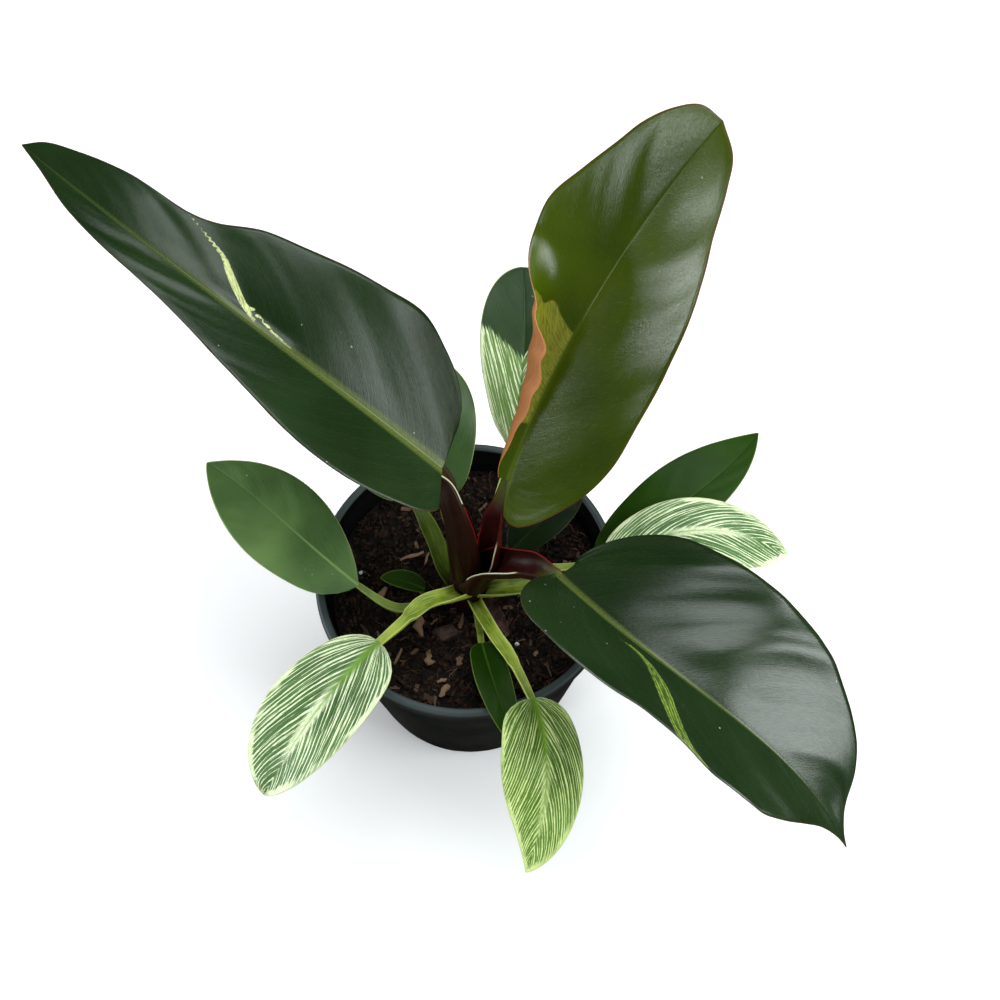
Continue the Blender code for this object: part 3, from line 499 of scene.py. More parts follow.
def sheetNormals(middle, faces):
    normals = np.zeros_like(middle)
    for f in faces:
        for k in range(2, len(f)):
            area = np.cross(middle[f[k - 1]] - middle[f[0]], middle[f[k]] - middle[f[0]])
            for i in (f[0], f[k - 1], f[k]):
                normals[i] += area
    return unit(normals)


def bladeLift(blade, swells, net, taper):
    # how far the swells and furrows raise or sink each point of the blade
    side, x, y, vein, share = (net[word] for word in ("side", "x", "y", "vein", "share"))
    fade = smoothShare(share, 0.02, 0.35) * (1.0 - 0.4 * smoothShare(share, 0.75, 1.0))
    fade = fade * smoothShare(taper, 0.0, 0.2)
    lift = np.zeros(len(x))
    for swell, period, start in swells:
        places = zip(vein, share * side)
        uneven = np.array([noise.noise(Vector((v / period * 0.9, s * 1.1, start))) for v, s in places])
        phase = tau * vein / period + start * (1.0 + 0.7 * side) + 0.8 * share + 2.2 * uneven
        lift += swell * fade * np.sin(phase) * (0.75 + 0.9 * uneven)
    for furrow in blade.get("furrows", []):
        line = smoothCurve(furrow["line"], 60)
        away = np.hypot(x[:, None] - line[None, :, 0], y[:, None] - line[None, :, 1]).min(axis=1)
        here = (side == furrow["side"]) * smoothShare(share, 0.0, 0.15)
        lift -= furrow["depth"] * here * np.exp(-(away / furrow["width"]) ** 2)
    return lift


def grainPlace(blade, slope, net):
    # the pattern runs along the side veins, forward from the midrib, and fans round the junction
    side, x, y, share = (net[word] for word in ("side", "x", "y", "share"))
    reach = np.where(side > 0, blade["reachRight"], blade["reachLeft"])
    ahead = x - slope * y
    fanned = (np.clip(x / np.maximum(y, 0.05), -3.0, slope) - slope) * reach * 0.8
    grain = np.where(ahead >= 0.0, ahead, fanned) - bladeForm["veinArch"] * blade["length"] * share ** 2
    return np.stack([grain / 100.0, share * side], axis=1)


def rimPairs(faces):
    # the edges of a sheet that one face alone has
    pairs = {(f[k], f[(k + 1) % len(f)]) for f in faces for k in range(len(f))}
    return sorted((a, b) for a, b in pairs if (b, a) not in pairs)


def buildBlade(name, blade, size, fanStep, columns, strips):
    prepareBlade(blade)
    form = bladeForm[size]
    net, faces = bladeNet(blade, fanStep, columns, strips)
    side, x, y, edge = (net[word] for word in ("side", "x", "y", "edge"))
    middle, mark = np.zeros((len(x), 3)), np.zeros(len(x))
    for half in (1, -1):
        picked = side == half
        middle[picked] = bladePoints(blade, x[picked], y[picked], half)
        mark[picked] = markValue(blade, half, x[picked], y[picked])
    normals = sheetNormals(middle, faces)
    taper = np.clip(1.0 - x / blade["length"], 0.0, 1.0)
    lift = bladeLift(blade, blade.get("swells") or form["swells"], net, taper)
    ribWidth = form["ribWidth"] * taper ** 0.6 + 0.15
    begun = np.minimum(1.0, x / 4.0 + 0.3).clip(0, 1)
    groove = np.exp(-(y / (ribWidth * 0.55)) ** 2) * form["groove"] * begun
    keel = np.exp(-(y / (ribWidth * 0.75)) ** 2) * form["keel"] * taper ** 0.7
    skin = form["thickness"] / 2 * (0.35 + 0.65 * smoothShare(edge, 0.0, 3.0))      # thinner at the margin
    top = middle + normals * (lift - groove + skin)[:, None]
    under = middle + normals * (lift - keel - skin)[:, None]
    count = len(middle)
    lower = [tuple(i + count for i in f[::-1]) for f in faces]
    walls = [(b, a, a + count, b + count) for a, b in rimPairs(faces)]
    choice = [0] * len(faces) + [1] * (len(lower) + len(walls))
    uv = grainPlace(blade, form["grain"], net)
    attributes = {"along": x / blade["length"], "away": y / 10.0, "edge": edge / 10.0, "mark": mark}
    attributes = {key: np.tile(values, 2) for key, values in attributes.items()}
    look = bladeLooks[blade["look"]]
    materials = [bladeMaterial(blade["look"], look), undersideMaterial(blade["look"], look)]
    piece = addMesh(name + "_blade", np.vstack([top, under]), faces + lower + walls, materials, choice,
                    np.vstack([uv, uv]), attributes)
    settle(piece, look["slot"], name)


bladeLooks = {
    "darkBlade": {
        "deep": rgb(0.0066, 0.0185, 0.0040), "fresh": rgb(0.0112, 0.0270, 0.0068),
        "rib": rgb(0.085, 0.115, 0.022), "ribWidth": 3.8, "veins": 0.06, "period": 8.5,
        "edge": rgb(0.060, 0.026, 0.014), "under": rgb(0.035, 0.075, 0.025),
        "markColour": rgb(0.50, 0.56, 0.22), "roughness": 0.26, "specular": 0.37,
        "slot": "blade_dark_green", "veinDepth": 0.12, "bump": 0.22,
    },
    "oliveBlade": {
        "deep": rgb(0.027, 0.050, 0.0004), "fresh": rgb(0.048, 0.078, 0.0009),
        "rib": rgb(0.070, 0.105, 0.006), "ribWidth": 2.0, "veins": 0.05, "period": 8.5,
        "edge": rgb(0.16, 0.030, 0.024), "under": rgb(0.47, 0.185, 0.062),
        "underFar": rgb(0.125, 0.078, 0.020), "underRib": rgb(0.26, 0.20, 0.07),
        "markColour": rgb(0.25, 0.25, 0.024), "roughness": 0.22, "specular": 0.55,
        "slot": "blade_olive_green", "veinDepth": 0.12, "bump": 0.22,
    },
    "plainBlade": {
        "deep": rgb(0.024, 0.062, 0.009), "fresh": rgb(0.060, 0.130, 0.028),
        "rib": rgb(0.16, 0.26, 0.055), "ribWidth": 0.9, "veins": 0.22, "period": 5.0,
        "edge": rgb(0.20, 0.24, 0.07), "under": rgb(0.10, 0.19, 0.05), "roughness": 0.40,
        "specular": 0.5, "slot": "blade_mid_green",
    },
    "freshBlade": {
        "deep": rgb(0.030, 0.078, 0.014), "fresh": rgb(0.105, 0.200, 0.048),
        "rib": rgb(0.17, 0.27, 0.08), "ribWidth": 0.9, "veins": 0.16, "period": 5.0,
        "edge": rgb(0.30, 0.36, 0.10), "under": rgb(0.10, 0.19, 0.05), "roughness": 0.42,
        "specular": 0.3, "slot": "blade_mid_green",
    },
    # painted shade: this look's colours are darkened for the shade the small leaf lies in under the upright
    # leaf
    "shadedBlade": {
        "deep": rgb(0.0022, 0.0075, 0.0010), "fresh": rgb(0.0045, 0.0130, 0.0016),
        "rib": rgb(0.012, 0.026, 0.004), "ribWidth": 0.7, "veins": 0.1, "period": 5.0,
        "edge": rgb(0.02, 0.03, 0.006), "under": rgb(0.01, 0.02, 0.005), "roughness": 0.45,
        "specular": 0.12, "slot": "blade_mid_green",
    },
    "deepBlade": {
        "deep": rgb(0.0058, 0.0240, 0.0006), "fresh": rgb(0.0150, 0.0460, 0.0022),
        "rib": rgb(0.045, 0.10, 0.010), "ribWidth": 0.8, "veins": 0.16, "period": 5.0,
        "edge": rgb(0.12, 0.18, 0.03), "under": rgb(0.05, 0.11, 0.02), "roughness": 0.36,
        "specular": 0.10, "slot": "blade_mid_green",
    },
    "creamStripes": {
        "deep": rgb(0.022, 0.068, 0.010), "fresh": rgb(0.058, 0.138, 0.040),
        "rib": rgb(0.135, 0.28, 0.028), "ribWidth": 1.0, "veins": 0.0, "period": 5.0,
        "edge": rgb(0.56, 0.60, 0.30), "under": rgb(0.20, 0.30, 0.10), "roughness": 0.44,
        "specular": 0.3, "slot": "blade_striped_green",
        "stripes": {"period": 4.3, "least": 0.025, "width": 0.27, "finePeriod": 1.35, "fineWidth": 0.19,
                    "fineShare": 0.70, "rimWidth": 0.24, "baseExtra": 0.08, "middle": 0.9, "to": 9.0},
        "stripeColour": rgb(0.84, 0.90, 0.64), "stripeLime": rgb(0.34, 0.50, 0.17),
    },
    "limeStripes": {
        "deep": rgb(0.034, 0.098, 0.006), "fresh": rgb(0.090, 0.19, 0.018),
        "rib": rgb(0.17, 0.33, 0.022), "ribWidth": 0.9, "veins": 0.0, "period": 5.0,
        "edge": rgb(0.50, 0.58, 0.20), "under": rgb(0.20, 0.32, 0.08), "roughness": 0.42,
        "specular": 0.3, "slot": "blade_striped_green",
        "stripes": {"period": 3.0, "least": 0.03, "width": 0.25, "finePeriod": 1.0, "fineWidth": 0.24,
                    "fineShare": 0.80, "rimWidth": 0.18, "middle": 0.5, "to": 9.0},
        "stripeColour": rgb(0.72, 0.82, 0.38), "stripeLime": rgb(0.31, 0.50, 0.08),
    },
    "halfStriped": {
        "deep": rgb(0.0095, 0.0270, 0.0060), "fresh": rgb(0.0180, 0.0430, 0.0120),
        "rib": rgb(0.05, 0.10, 0.025), "ribWidth": 0.9, "veins": 0.05, "period": 5.0,
        "edge": rgb(0.30, 0.36, 0.14), "under": rgb(0.10, 0.18, 0.06), "roughness": 0.34,
        "specular": 0.18, "slot": "blade_striped_green",
        "stripes": {"period": 4.2, "least": 0.0, "width": 0.32, "finePeriod": 1.3, "fineWidth": 0.20,
                    "fineShare": 0.7, "rimWidth": 0.22, "to": 0.42, "slant": -0.15},
        "stripeColour": rgb(0.80, 0.87, 0.60), "stripeLime": rgb(0.20, 0.33, 0.09),
        "ground": rgb(0.028, 0.072, 0.018),
    },
}
bladeLooks["streakedBlade"] = dict(bladeLooks["darkBlade"], markColour=rgb(0.24, 0.36, 0.045),
                                   markLines=0.85, markTear=0.6, ribWidth=2.4, specular=0.52)


def stripeColour(tree, look, colour, place, vein, across, share, along, edge):
    # cream and lime lines along the side veins, wide and fine, with a pale rim
    stripes = look["stripes"]
    sway = times(tree, maths(tree, "SUBTRACT", noiseValue(tree, place, 55.0), 0.5), 0.030)
    shifted = plus(tree, vein, sway)

    def veinNoise(scales, start, detail=2.0):
        return grainValue(tree, shifted, across, scales, start, detail)

    def veinLines(period, width, spread, start, soft):
        # nearly regular lines, wider or broken where the noise says
        unsteady = times(tree, veinNoise((30.0, 0.7), start), 1.6)
        beat = plus(tree, times(tree, shifted, 100.0 / period), unsteady)
        gap = maths(tree, "PINGPONG", beat, 0.5)
        room = times(tree, stepUp(tree, veinNoise((70.0, 2.4), start + 5.0), 0.36, 0.66), spread)
        return stepUp(tree, maths(tree, "SUBTRACT", gap, plus(tree, room, width)), soft, -soft)

    more = times(tree, stepUp(tree, share, 0.5, 1.0), 0.05)
    more = plus(tree, more, stepUp(tree, along, 0.34, 0.05, 0.0, stripes.get("baseExtra", 0.0)))
    wide = veinLines(stripes["period"], plus(tree, more, stripes["least"]), stripes["width"], 0.0, 0.025)
    thin = veinLines(stripes["finePeriod"], plus(tree, more, -0.02), stripes["fineWidth"], 11.0, 0.08)
    speckle = grainValue(tree, shifted, across, (330.0, 16.0), 3.0, 3.0, 0.65)
    wide = times(tree, wide, stepUp(tree, speckle, 0.30, 0.42))
    thin = times(tree, thin, stepUp(tree, speckle, 0.38, 0.55))
    # the stripes end at a ragged border across the blade, which lies past the tip of a wholly striped one
    slant = times(tree, share, stripes.get("slant", 0.0))
    ragged = plus(tree, times(tree, veinNoise((40.0, 2.0), 21.0, 3.0), 0.16), slant)
    region = stepUp(tree, plus(tree, along, ragged), stripes["to"] + 0.17, stripes["to"] + 0.145)
    if "ground" in look:
        ground = blendColour(tree, speckle, look["ground"], look["stripeLime"])
        colour = blendColour(tree, region, colour, ground)
    fineShare = times(tree, times(tree, thin, region), stripes["fineShare"])
    colour = blendColour(tree, fineShare, colour, look["stripeLime"])
    rimGrain = plus(tree, edge, times(tree, veinNoise((45.0, 1.0), 31.0, 3.0), -0.5))
    rimPale = stepUp(tree, rimGrain, stripes["rimWidth"] - 0.25, stripes["rimWidth"] - 0.31)
    rimPale = times(tree, rimPale, stepUp(tree, noiseValue(tree, place, 38.0), 0.42, 0.52, 0.15, 1.0))
    cream = blendColour(tree, stepUp(tree, speckle, 0.35, 0.6), look["stripeLime"], look["stripeColour"])
    both = maths(tree, "MAXIMUM", wide, rimPale)
    if "middle" not in stripes:
        return blendColour(tree, times(tree, both, region), colour, cream)
    # pale beside the midrib on the outer half, green beside it near the junction
    beside = plus(tree, share, times(tree, speckle, -0.25))
    window = times(tree, stepUp(tree, along, 0.26, 0.50), stepUp(tree, along, 0.84, 0.66))
    middle = times(tree, times(tree, stepUp(tree, beside, 0.04, -0.06), window), stripes["middle"])
    colour = blendColour(tree, times(tree, maths(tree, "MAXIMUM", both, middle), region), colour, cream)
    base = times(tree, stepUp(tree, beside, 0.03, -0.07), stepUp(tree, along, 0.42, 0.18))
    return blendColour(tree, times(tree, base, 0.85), colour, look["rib"])


def fleckColour(tree, look, colour, vein, across):
    # the pale marks of a dark blade, torn along the veins, with fine green lines parallel to their edges
    mark = floatAttribute(tree, "mark")
    torn = grainValue(tree, vein, across, (150.0, 9.0), 9.0, 4.0, 0.7)
    reach = plus(tree, mark, times(tree, maths(tree, "SUBTRACT", torn, 0.5), look.get("markTear", 0.3)))
    inside = times(tree, stepUp(tree, reach, 0.50, 0.58), stepUp(tree, mark, 0.05, 0.2))
    marked = blendColour(tree, stepUp(tree, torn, 0.44, 0.60, 0.0, 0.6), look["markColour"], look["fresh"])
    threads = maths(tree, "PINGPONG", plus(tree, times(tree, mark, 5.5), times(tree, torn, 1.6)), 0.5)
    threads = stepUp(tree, threads, 0.10, 0.34, 0.0, look.get("markLines", 0.0))
    marked = blendColour(tree, threads, marked, look["fresh"])
    return blendColour(tree, inside, colour, marked)


def bladeMaterial(name, look):
    existing = bpy.data.materials.get(name + "Top")
    if existing:
        return existing
    material, tree, shader = newMaterial(name + "Top")
    place = objectPlace(tree)
    vein, across = uvPlace(tree)
    share = maths(tree, "ABSOLUTE", across)
    along, away, edge = (floatAttribute(tree, w) for w in ("along", "away", "edge"))
    broad, fine = noiseValue(tree, place, 22.0, 3.0), noiseValue(tree, place, 900.0)
    cells = grainValue(tree, vein, across, (260.0, 14.0))
    colour = blendColour(tree, stepUp(tree, broad, 0.35, 0.65), look["deep"], look["fresh"])
    # a fine paler line on each side vein
    ripple = maths(tree, "PINGPONG", times(tree, vein, 100.0 / look["period"]), 0.5)
    line = times(tree, stepUp(tree, ripple, 0.0, 0.05, 1.0, 0.0), stepUp(tree, share, 0.98, 0.6))
    colour = blendColour(tree, times(tree, line, look["veins"]), colour, look["rib"])
    colour = blendColour(tree, stepUp(tree, cells, 0.3, 0.75, 0.0, 0.35), colour, look["fresh"])
    if "stripes" in look:
        colour = stripeColour(tree, look, colour, place, vein, across, share, along, edge)
    if "markColour" in look:
        colour = fleckColour(tree, look, colour, vein, across)
    # midrib, narrowing and fading to the tip
    width = times(tree, maths(tree, "SUBTRACT", 1.06, along), look["ribWidth"] * 0.1)
    ribShare = stepUp(tree, maths(tree, "DIVIDE", away, width), 0.95, 0.35)
    ribShare = times(tree, ribShare, stepUp(tree, along, 0.9, 0.0, 0.25, 0.95))
    ribShare = times(tree, ribShare, stepUp(tree, cells, 0.25, 0.6, 0.72, 1.0))
    colour = blendColour(tree, ribShare, colour, look["rib"])
    colour = blendColour(tree, times(tree, stepUp(tree, edge, 0.045, 0.02), 0.8), colour, look["edge"])
    # a few pale grains of dust
    grains = addNode(tree, "ShaderNodeTexVoronoi", {"Vector": place, "Scale": 210.0}, feature="F1")
    dusty = stepUp(tree, noiseValue(tree, place, 60.0, 1.0), 0.60, 0.66)
    speck = times(tree, stepUp(tree, grains.outputs["Distance"], 0.085, 0.05), dusty)
    colour = blendColour(tree, times(tree, speck, 0.45), colour, rgb(0.55, 0.58, 0.5))
    roughness = stepUp(tree, cells, 0.2, 0.8, look["roughness"] - 0.05, look["roughness"] + 0.08)
    finishShader(tree, shader, colour, roughness, look["specular"])
    height = plus(tree, times(tree, cells, 0.5), times(tree, fine, 0.3))
    height = maths(tree, "SUBTRACT", height, times(tree, line, look.get("veinDepth", 0.35)))
    setBump(tree, shader, height, look.get("bump", 0.35), 0.0004)
    return material


def undersideMaterial(name, look):
    existing = bpy.data.materials.get(name + "Under")
    if existing:
        return existing
    material, tree, shader = newMaterial(name + "Under")
    vein, across = uvPlace(tree)
    grain = grainValue(tree, vein, across, (120.0, 6.0))
    broad = noiseValue(tree, objectPlace(tree), 30.0)
    along, away = floatAttribute(tree, "along"), floatAttribute(tree, "away")
    base = look["under"]
    if "underFar" in look:
        rolled = times(tree, stepUp(tree, along, 0.66, 0.44), stepUp(tree, across, -0.05, -0.35))
        base = blendColour(tree, rolled, look["underFar"], base)
    darker, lighter = (blendColour(tree, 1.0, base, rgb(g, g, g), "MULTIPLY") for g in (0.6, 1.5))
    colour = blendColour(tree, stepUp(tree, broad, 0.35, 0.7, 0.0, 0.6), base, darker)
    colour = blendColour(tree, stepUp(tree, grain, 0.45, 0.75, 0.0, 0.5), colour, lighter)
    ripple = maths(tree, "PINGPONG", times(tree, vein, 100.0 / look["period"]), 0.5)
    line = stepUp(tree, ripple, 0.0, 0.07, 1.0, 0.0)
    colour = blendColour(tree, times(tree, line, 0.4), colour, lighter)
    fromRib = maths(tree, "DIVIDE", away, maths(tree, "SUBTRACT", 1.1, along))
    keel = stepUp(tree, fromRib, look["ribWidth"] * 0.07, look["ribWidth"] * 0.02)
    colour = blendColour(tree, times(tree, keel, 0.7), colour, look.get("underRib", look["rib"]))
    finishShader(tree, shader, colour, 0.42)
    setBump(tree, shader, plus(tree, times(tree, grain, 0.6), line), 0.3, 0.0003)
    return material


print("blades")
largeStrips = [0, 0.015, 0.035, 0.06, 0.09, 0.125, 0.165, 0.21] + [0.26 + 0.74 * k / 18 for k in range(19)]
smallStrips = [0, 0.03, 0.065, 0.11, 0.17] + [0.24 + 0.76 * k / 13 for k in range(14)]
for bladeName, blade in largeBlades.items():
    buildBlade(bladeName, blade, "large", 3.0, 120, largeStrips)
for bladeName, blade in smallBlades.items():
    buildBlade(bladeName, blade, "small", 5.0, 24 if bladeName == "leaf_seedling" else 64, smallStrips)


stalkForm = {
    "rings": 64, "largeRings": 96, "steps": 14, "skin": 0.7, "groove": 0.22,
    "largeRun": 8.0, "smallRun": 4.0,      # the free stretch before the blade
}
largeStalks = {
    "leaf_large_left": {
        "path": [(0, -2, 84), (-0.2, -1.5, 104), (-1.2, 2.5, 120), (-3.4, 7.4, 131)],
        "face": (0.92, 0.20, 0.35), "red": 0.12, "tone": 0.15,
        "cream": (((0.40, 0), (0.46, -1), (0.64, -1), (0.68, 1), (0.95, 1), (1, 0)), ((0, 0), (1, 0))),
        "radius": [(0, 6.6), (0.35, 6.9), (0.66, 6.2), (0.86, 4.6), (1, 2.4)],
        "squash": [(0, 0.95), (0.6, 0.95), (1, 1.0)],
        "back": [(0, 150), (0.5, 148), (0.72, 144), (0.84, 136), (1, 104)],
        "front": [(0, 150), (0.36, 146), (0.50, 120), (0.62, 84), (1, 80)],
        "fill": [(0, 0), (0.78, 0), (0.96, 0.9), (1, 1)], "skin": 1.3,
    },
    "leaf_large_upright": {
        "path": [(4, -2, 86), (8.0, -2.5, 105), (9.2, 0, 117), (10.8, 5, 127)],
        "face": (-0.50, -0.72, 0.35), "red": 1.0, "tone": 0.6,
        "cream": (((0.1, 0), (0.2, -1), (0.5, -1), (0.56, 0)),
                  ((0.05, 0), (0.15, 0.7), (0.42, 0.7), (0.5, 0))),
        "radius": [(0, 5.2), (0.4, 4.9), (0.58, 4.0), (0.70, 2.6), (1, 2.1)], "squash": [(0, 0.9), (1, 1.0)],
        "front": [(0, 150), (0.35, 132), (0.56, 116), (0.66, 118), (1, 122)],
        "back": [(0, 150), (0.40, 128), (0.52, 104), (0.60, 118), (1, 122)],
        "fill": [(0, 0), (0.50, 0.05), (0.68, 0.9), (1, 1)], "skin": 1.1,
    },
    "leaf_large_right": {
        "path": [(2, -5, 91), (8.5, -6, 108), (17.5, -10.5, 117.5), (24.5, -13.5, 122)],
        "face": (-0.20, 0.42, 0.88), "red": 0.22, "tone": 0.8,
        "cream": (((0.2, 0), (0.3, -1), (0.74, -1), (0.8, 0)), ((0.12, 0), (0.2, 1), (0.52, 1), (0.6, 0))),
        "radius": [(0, 6.6), (0.35, 6.8), (0.60, 5.8), (0.76, 4.2), (0.86, 2.4), (1, 2.0)],
        "squash": [(0, 0.9), (0.6, 0.85), (1, 1.0)],
        "front": [(0, 116), (0.12, 100), (0.30, 88), (0.50, 90), (0.68, 104), (0.84, 118), (1, 122)],
        "back": [(0, 150), (0.4, 150), (0.66, 146), (0.78, 116), (0.84, 118), (1, 122)],
        "fill": [(0, 0), (0.66, 0), (0.84, 0.9), (1, 1)], "skin": 1.1,
    },
}
smallStalks = {
    "leaf_small_left": {
        "path": [(-2, -6, 83), (-9, -9.5, 86), (-18.3, -13.8, 87), (-28, -15.6, 90)],
        "radius": (1.7, 1.2), "sheath": 2.6, "sheathEnd": 0.42, "face": (0, 0, 1), "tone": 0.28,
    },
    "leaf_striped_left": {
        "path": [(0, -7, 88), (-6, -11.5, 93), (-15.6, -17.1, 98), (-24.5, -27.1, 100)],
        "radius": (1.9, 1.5), "sheath": 3.9, "sheathEnd": 0.55, "face": (0.1, 0.35, 0.9), "tone": 0.85,
    },
    "leaf_striped_front": {
        "path": [(2, -7, 82), (5.5, -16, 87), (11.2, -28.1, 92), (16.8, -38.3, 96)],
        "radius": (1.6, 1.4), "sheath": 2.9, "sheathEnd": 0.62, "face": (0, 0, 1), "tone": 0.75,
    },
    "leaf_dark_front": {
        "path": [(2.5, -8, 78), (4, -14, 79), (5, -21, 81)],
        "radius": (1.2, 0.9), "sheath": 1.6, "sheathEnd": 0.5, "face": (0, 0, 1), "tone": 0.4,
    },
    "leaf_striped_right": {
        "path": [(3, -5, 84), (12, -7, 89), (24, -8, 94), (38, -8, 99)],
        "radius": (1.8, 1.4), "sheath": 3.8, "sheathEnd": 0.55, "face": (0, 0, 1), "tone": 0.55,
    },
    "leaf_plain_right": {
        "path": [(4, -2, 90), (12, -3, 96), (24, -3.5, 100), (36, -2, 97)],
        "radius": (1.5, 1.2), "sheath": 2.2, "sheathEnd": 0.5, "face": (0, 0, 1), "tone": 0.4,
    },
    "leaf_striped_back": {
        "path": [(2, 0, 90), (6, 7, 103), (12, 17, 115)],
        "radius": (1.7, 1.3), "sheath": 2.4, "sheathEnd": 0.5, "face": (-0.4, -0.6, 0.7), "tone": 0.6,
    },
    "leaf_green_back": {
        "path": [(-1, 2, 88), (-4.5, 8.5, 100), (-7.5, 12, 110)],
        "radius": (1.5, 1.1), "sheath": 1.8, "sheathEnd": 0.4, "face": (0.3, -0.6, 0.7), "tone": 0.2,
    },
    "leaf_under_left": {
        "path": [(-3, -2, 82), (-8, 0.5, 92), (-12, 6, 105), (-16.6, 12, 115)],
        "radius": (1.5, 1.2), "sheath": 4.2, "sheathEnd": 0.97, "face": (0.2, -0.8, 0.6), "tone": 0.18,
    },
    "leaf_under_upright": {
        "path": [(3, -1, 82), (9, 1, 87), (13, 4, 90)],
        "radius": (1.2, 0.9), "sheath": 1.6, "sheathEnd": 0.4, "face": (0, 0, 1), "tone": 0.4,
    },
    "leaf_seedling": {
        "path": [(-17.5, -3, 60), (-17.6, -3, 68), (-18, -3, 74)],
        "radius": (1.1, 0.7), "sheath": 1.2, "sheathEnd": 0.3, "face": (1, 0, 0.3), "tone": 0.3,
    },
}
crown = {
    "sections": [(50, 4.5), (58, 7.0), (70, 7.8), (82, 8.0), (92, 7.4), (99, 5.6), (103, 3.0)],
    "middle": (0.5, -3.5), "lean": 0.10, "soil": 75.0, "sides": 48,
}
dryScale = {
    "path": [(5, -6, 80.5), (10, -12, 81), (13.5, -18, 80.5), (16.5, -23, 79.5)],
    "face": (0.2, -0.2, 1), "radius": [(0, 3.4), (0.5, 3.0), (0.85, 1.6), (1, 0.4)],
    "squash": [(0, 0.35), (1, 0.5)],
    "front": [(0, 95), (1, 80)], "back": [(0, 85), (1, 80)], "fill": [(0, 0), (1, 0)], "skin": 0.35,
}


def sheathMesh(path, spec, endFace, red=0.0, cream=(((0, 0),), ((0, 0),)), tone=0.0, rings=None):
    # an open sheath that closes into a grooved stalk: wings round each side of the path
    rings = rings or stalkForm["rings"]
    steps = stalkForm["steps"]
    centre = smoothCurve(path, rings)
    span = np.linalg.norm(np.diff(centre, axis=0), axis=1).sum()
    share = np.linspace(0.0, 1.0, rings)
    forward = unit(np.gradient(centre, axis=0))
    turn = (share ** 2)[:, None]
    face = unit(np.array(spec["face"], dtype=float)) * (1.0 - turn) + np.asarray(endFace) * turn
    top = unit(face - forward * np.sum(forward * face, axis=1)[:, None])
    across = np.cross(forward, top)
    radius, squash, fill = (ease(share, spec[w]) for w in ("radius", "squash", "fill"))
    back, front = (np.radians(ease(share, spec[w])) for w in ("back", "front"))
    points, uv = [], []
    store = {"along": [], "edge": [], "inner": [], "red": [], "cream": [], "tone": []}
    for i in range(rings):
        angle = np.linspace(-back[i], front[i], steps + 1)
        reach = np.where(angle < 0, back[i], front[i])
        outer = np.stack([radius[i] * np.sin(angle), -radius[i] * squash[i] * np.cos(angle)], axis=1)
        thin = min(spec["skin"], radius[i] * 0.8) * (1.0 - 0.65 * (np.abs(angle) / reach) ** 4)
        shell = outer * (1.0 - thin / radius[i])[:, None]
        part = np.linspace(0.03, 0.97, steps + 1)
        chord = outer[0] * (1.0 - part)[:, None] + outer[-1] * part[:, None]
        chord[:, 1] -= stalkForm["groove"] * radius[i] * np.sin(math.pi * part)
        inner = shell * (1.0 - fill[i]) + chord * fill[i]
        away = radius[i] * (reach - np.abs(angle))
        sections = ((0.0, outer, angle, away), (1.0, inner[::-1], angle[::-1], away[::-1]))
        for inside, section, order, rim in sections:
            for j in range(steps + 1):
                points.append(centre[i] + across[i] * section[j, 0] + top[i] * section[j, 1])
                uv.append((share[i] * span / 100.0, order[j] / math.pi + 2.0 * inside))
                hem = np.interp(share[i], *zip(*cream[int(order[j] > 0)]))
                for word, value in zip(store, (share[i], rim[j] / 10.0, inside, red, hem, tone)):
                    store[word].append(value)
    count = 2 * (steps + 1)
    faces = tubeFaces(rings, count)
    for i, flip in ((0, True), (rings - 1, False)):
        for j in range(steps):
            a, b = i * count + j, i * count + j + 1
            c, d = i * count + count - 2 - j, i * count + count - 1 - j
            faces.append((a, d, c, b) if flip else (a, b, c, d))
    return np.array(points), faces, np.array(uv), {w: np.array(v) for w, v in store.items()}


def joinMeshes(parts):
    points, faces, uv, store, start = [], [], [], {}, 0
    for p, f, u, a in parts:
        points.append(p)
        uv.append(u)
        faces += [tuple(i + start for i in face) for face in f]
        for word, values in a.items():
            store.setdefault(word, []).append(values)
        start += len(p)
    return np.vstack(points), faces, np.vstack(uv), {w: np.concatenate(v) for w, v in store.items()}


def underBlade(blade, stalk, run, depth, slim):
    # the stalk's own points, then on under the base of the blade into its midrib
    point, forward, right, upward = midribFrame(blade, np.array([-2.0, 3.5, 11.0]))
    first = point[1] - upward[1] * (depth + slim)
    path = [np.array(p, dtype=float) for p in stalk["path"]]
    if run:
        path.append(first - forward[0] * run)
    return path + [first, point[2] - upward[2] * (depth * 0.9 + slim * 0.35)], upward[1]


def smallSheath(stalk):
    # widths and wings of a small stalk, from its few sizes
    foot, tip = stalk["radius"]
    end = stalk["sheathEnd"]
    wide = stalk["sheath"]
    before, ear = max(0.05, end - 0.16), max(0.08, end - 0.05)
    spec = {"face": stalk["face"], "skin": stalkForm["skin"]}
    if end > 0.9:      # winged nearly all the way
        spec["radius"] = [(0, wide), (0.5, wide * 0.8), (0.9, foot), (1, tip)]
        spec["front"] = spec["back"] = [(0, 100), (0.9, 90), (1, 110)]
        spec["squash"] = [(0, 0.5), (1, 0.9)]
        spec["fill"] = [(0, 0.1), (0.85, 0.5), (1, 1)]
        return spec
    spec["radius"] = [(0, wide), (before, wide * 0.92), (ear, wide * 0.8), (end, foot * 1.15), (1, tip * 0.8)]
    spec["squash"] = [(0, 0.8), (before, 0.62), (end, 0.95), (1, 1.0)]
    spec["front"] = [(0, 118), (before, 104), (ear, 96), (end, 122), (1, 122)]
    spec["back"] = [(0, 118), (before, 100), (max(0.06, end - 0.09), 92), (end, 122), (1, 122)]
    spec["fill"] = [(0, 0.1), (before, 0.15), (end, 1), (1, 1)]
    return spec


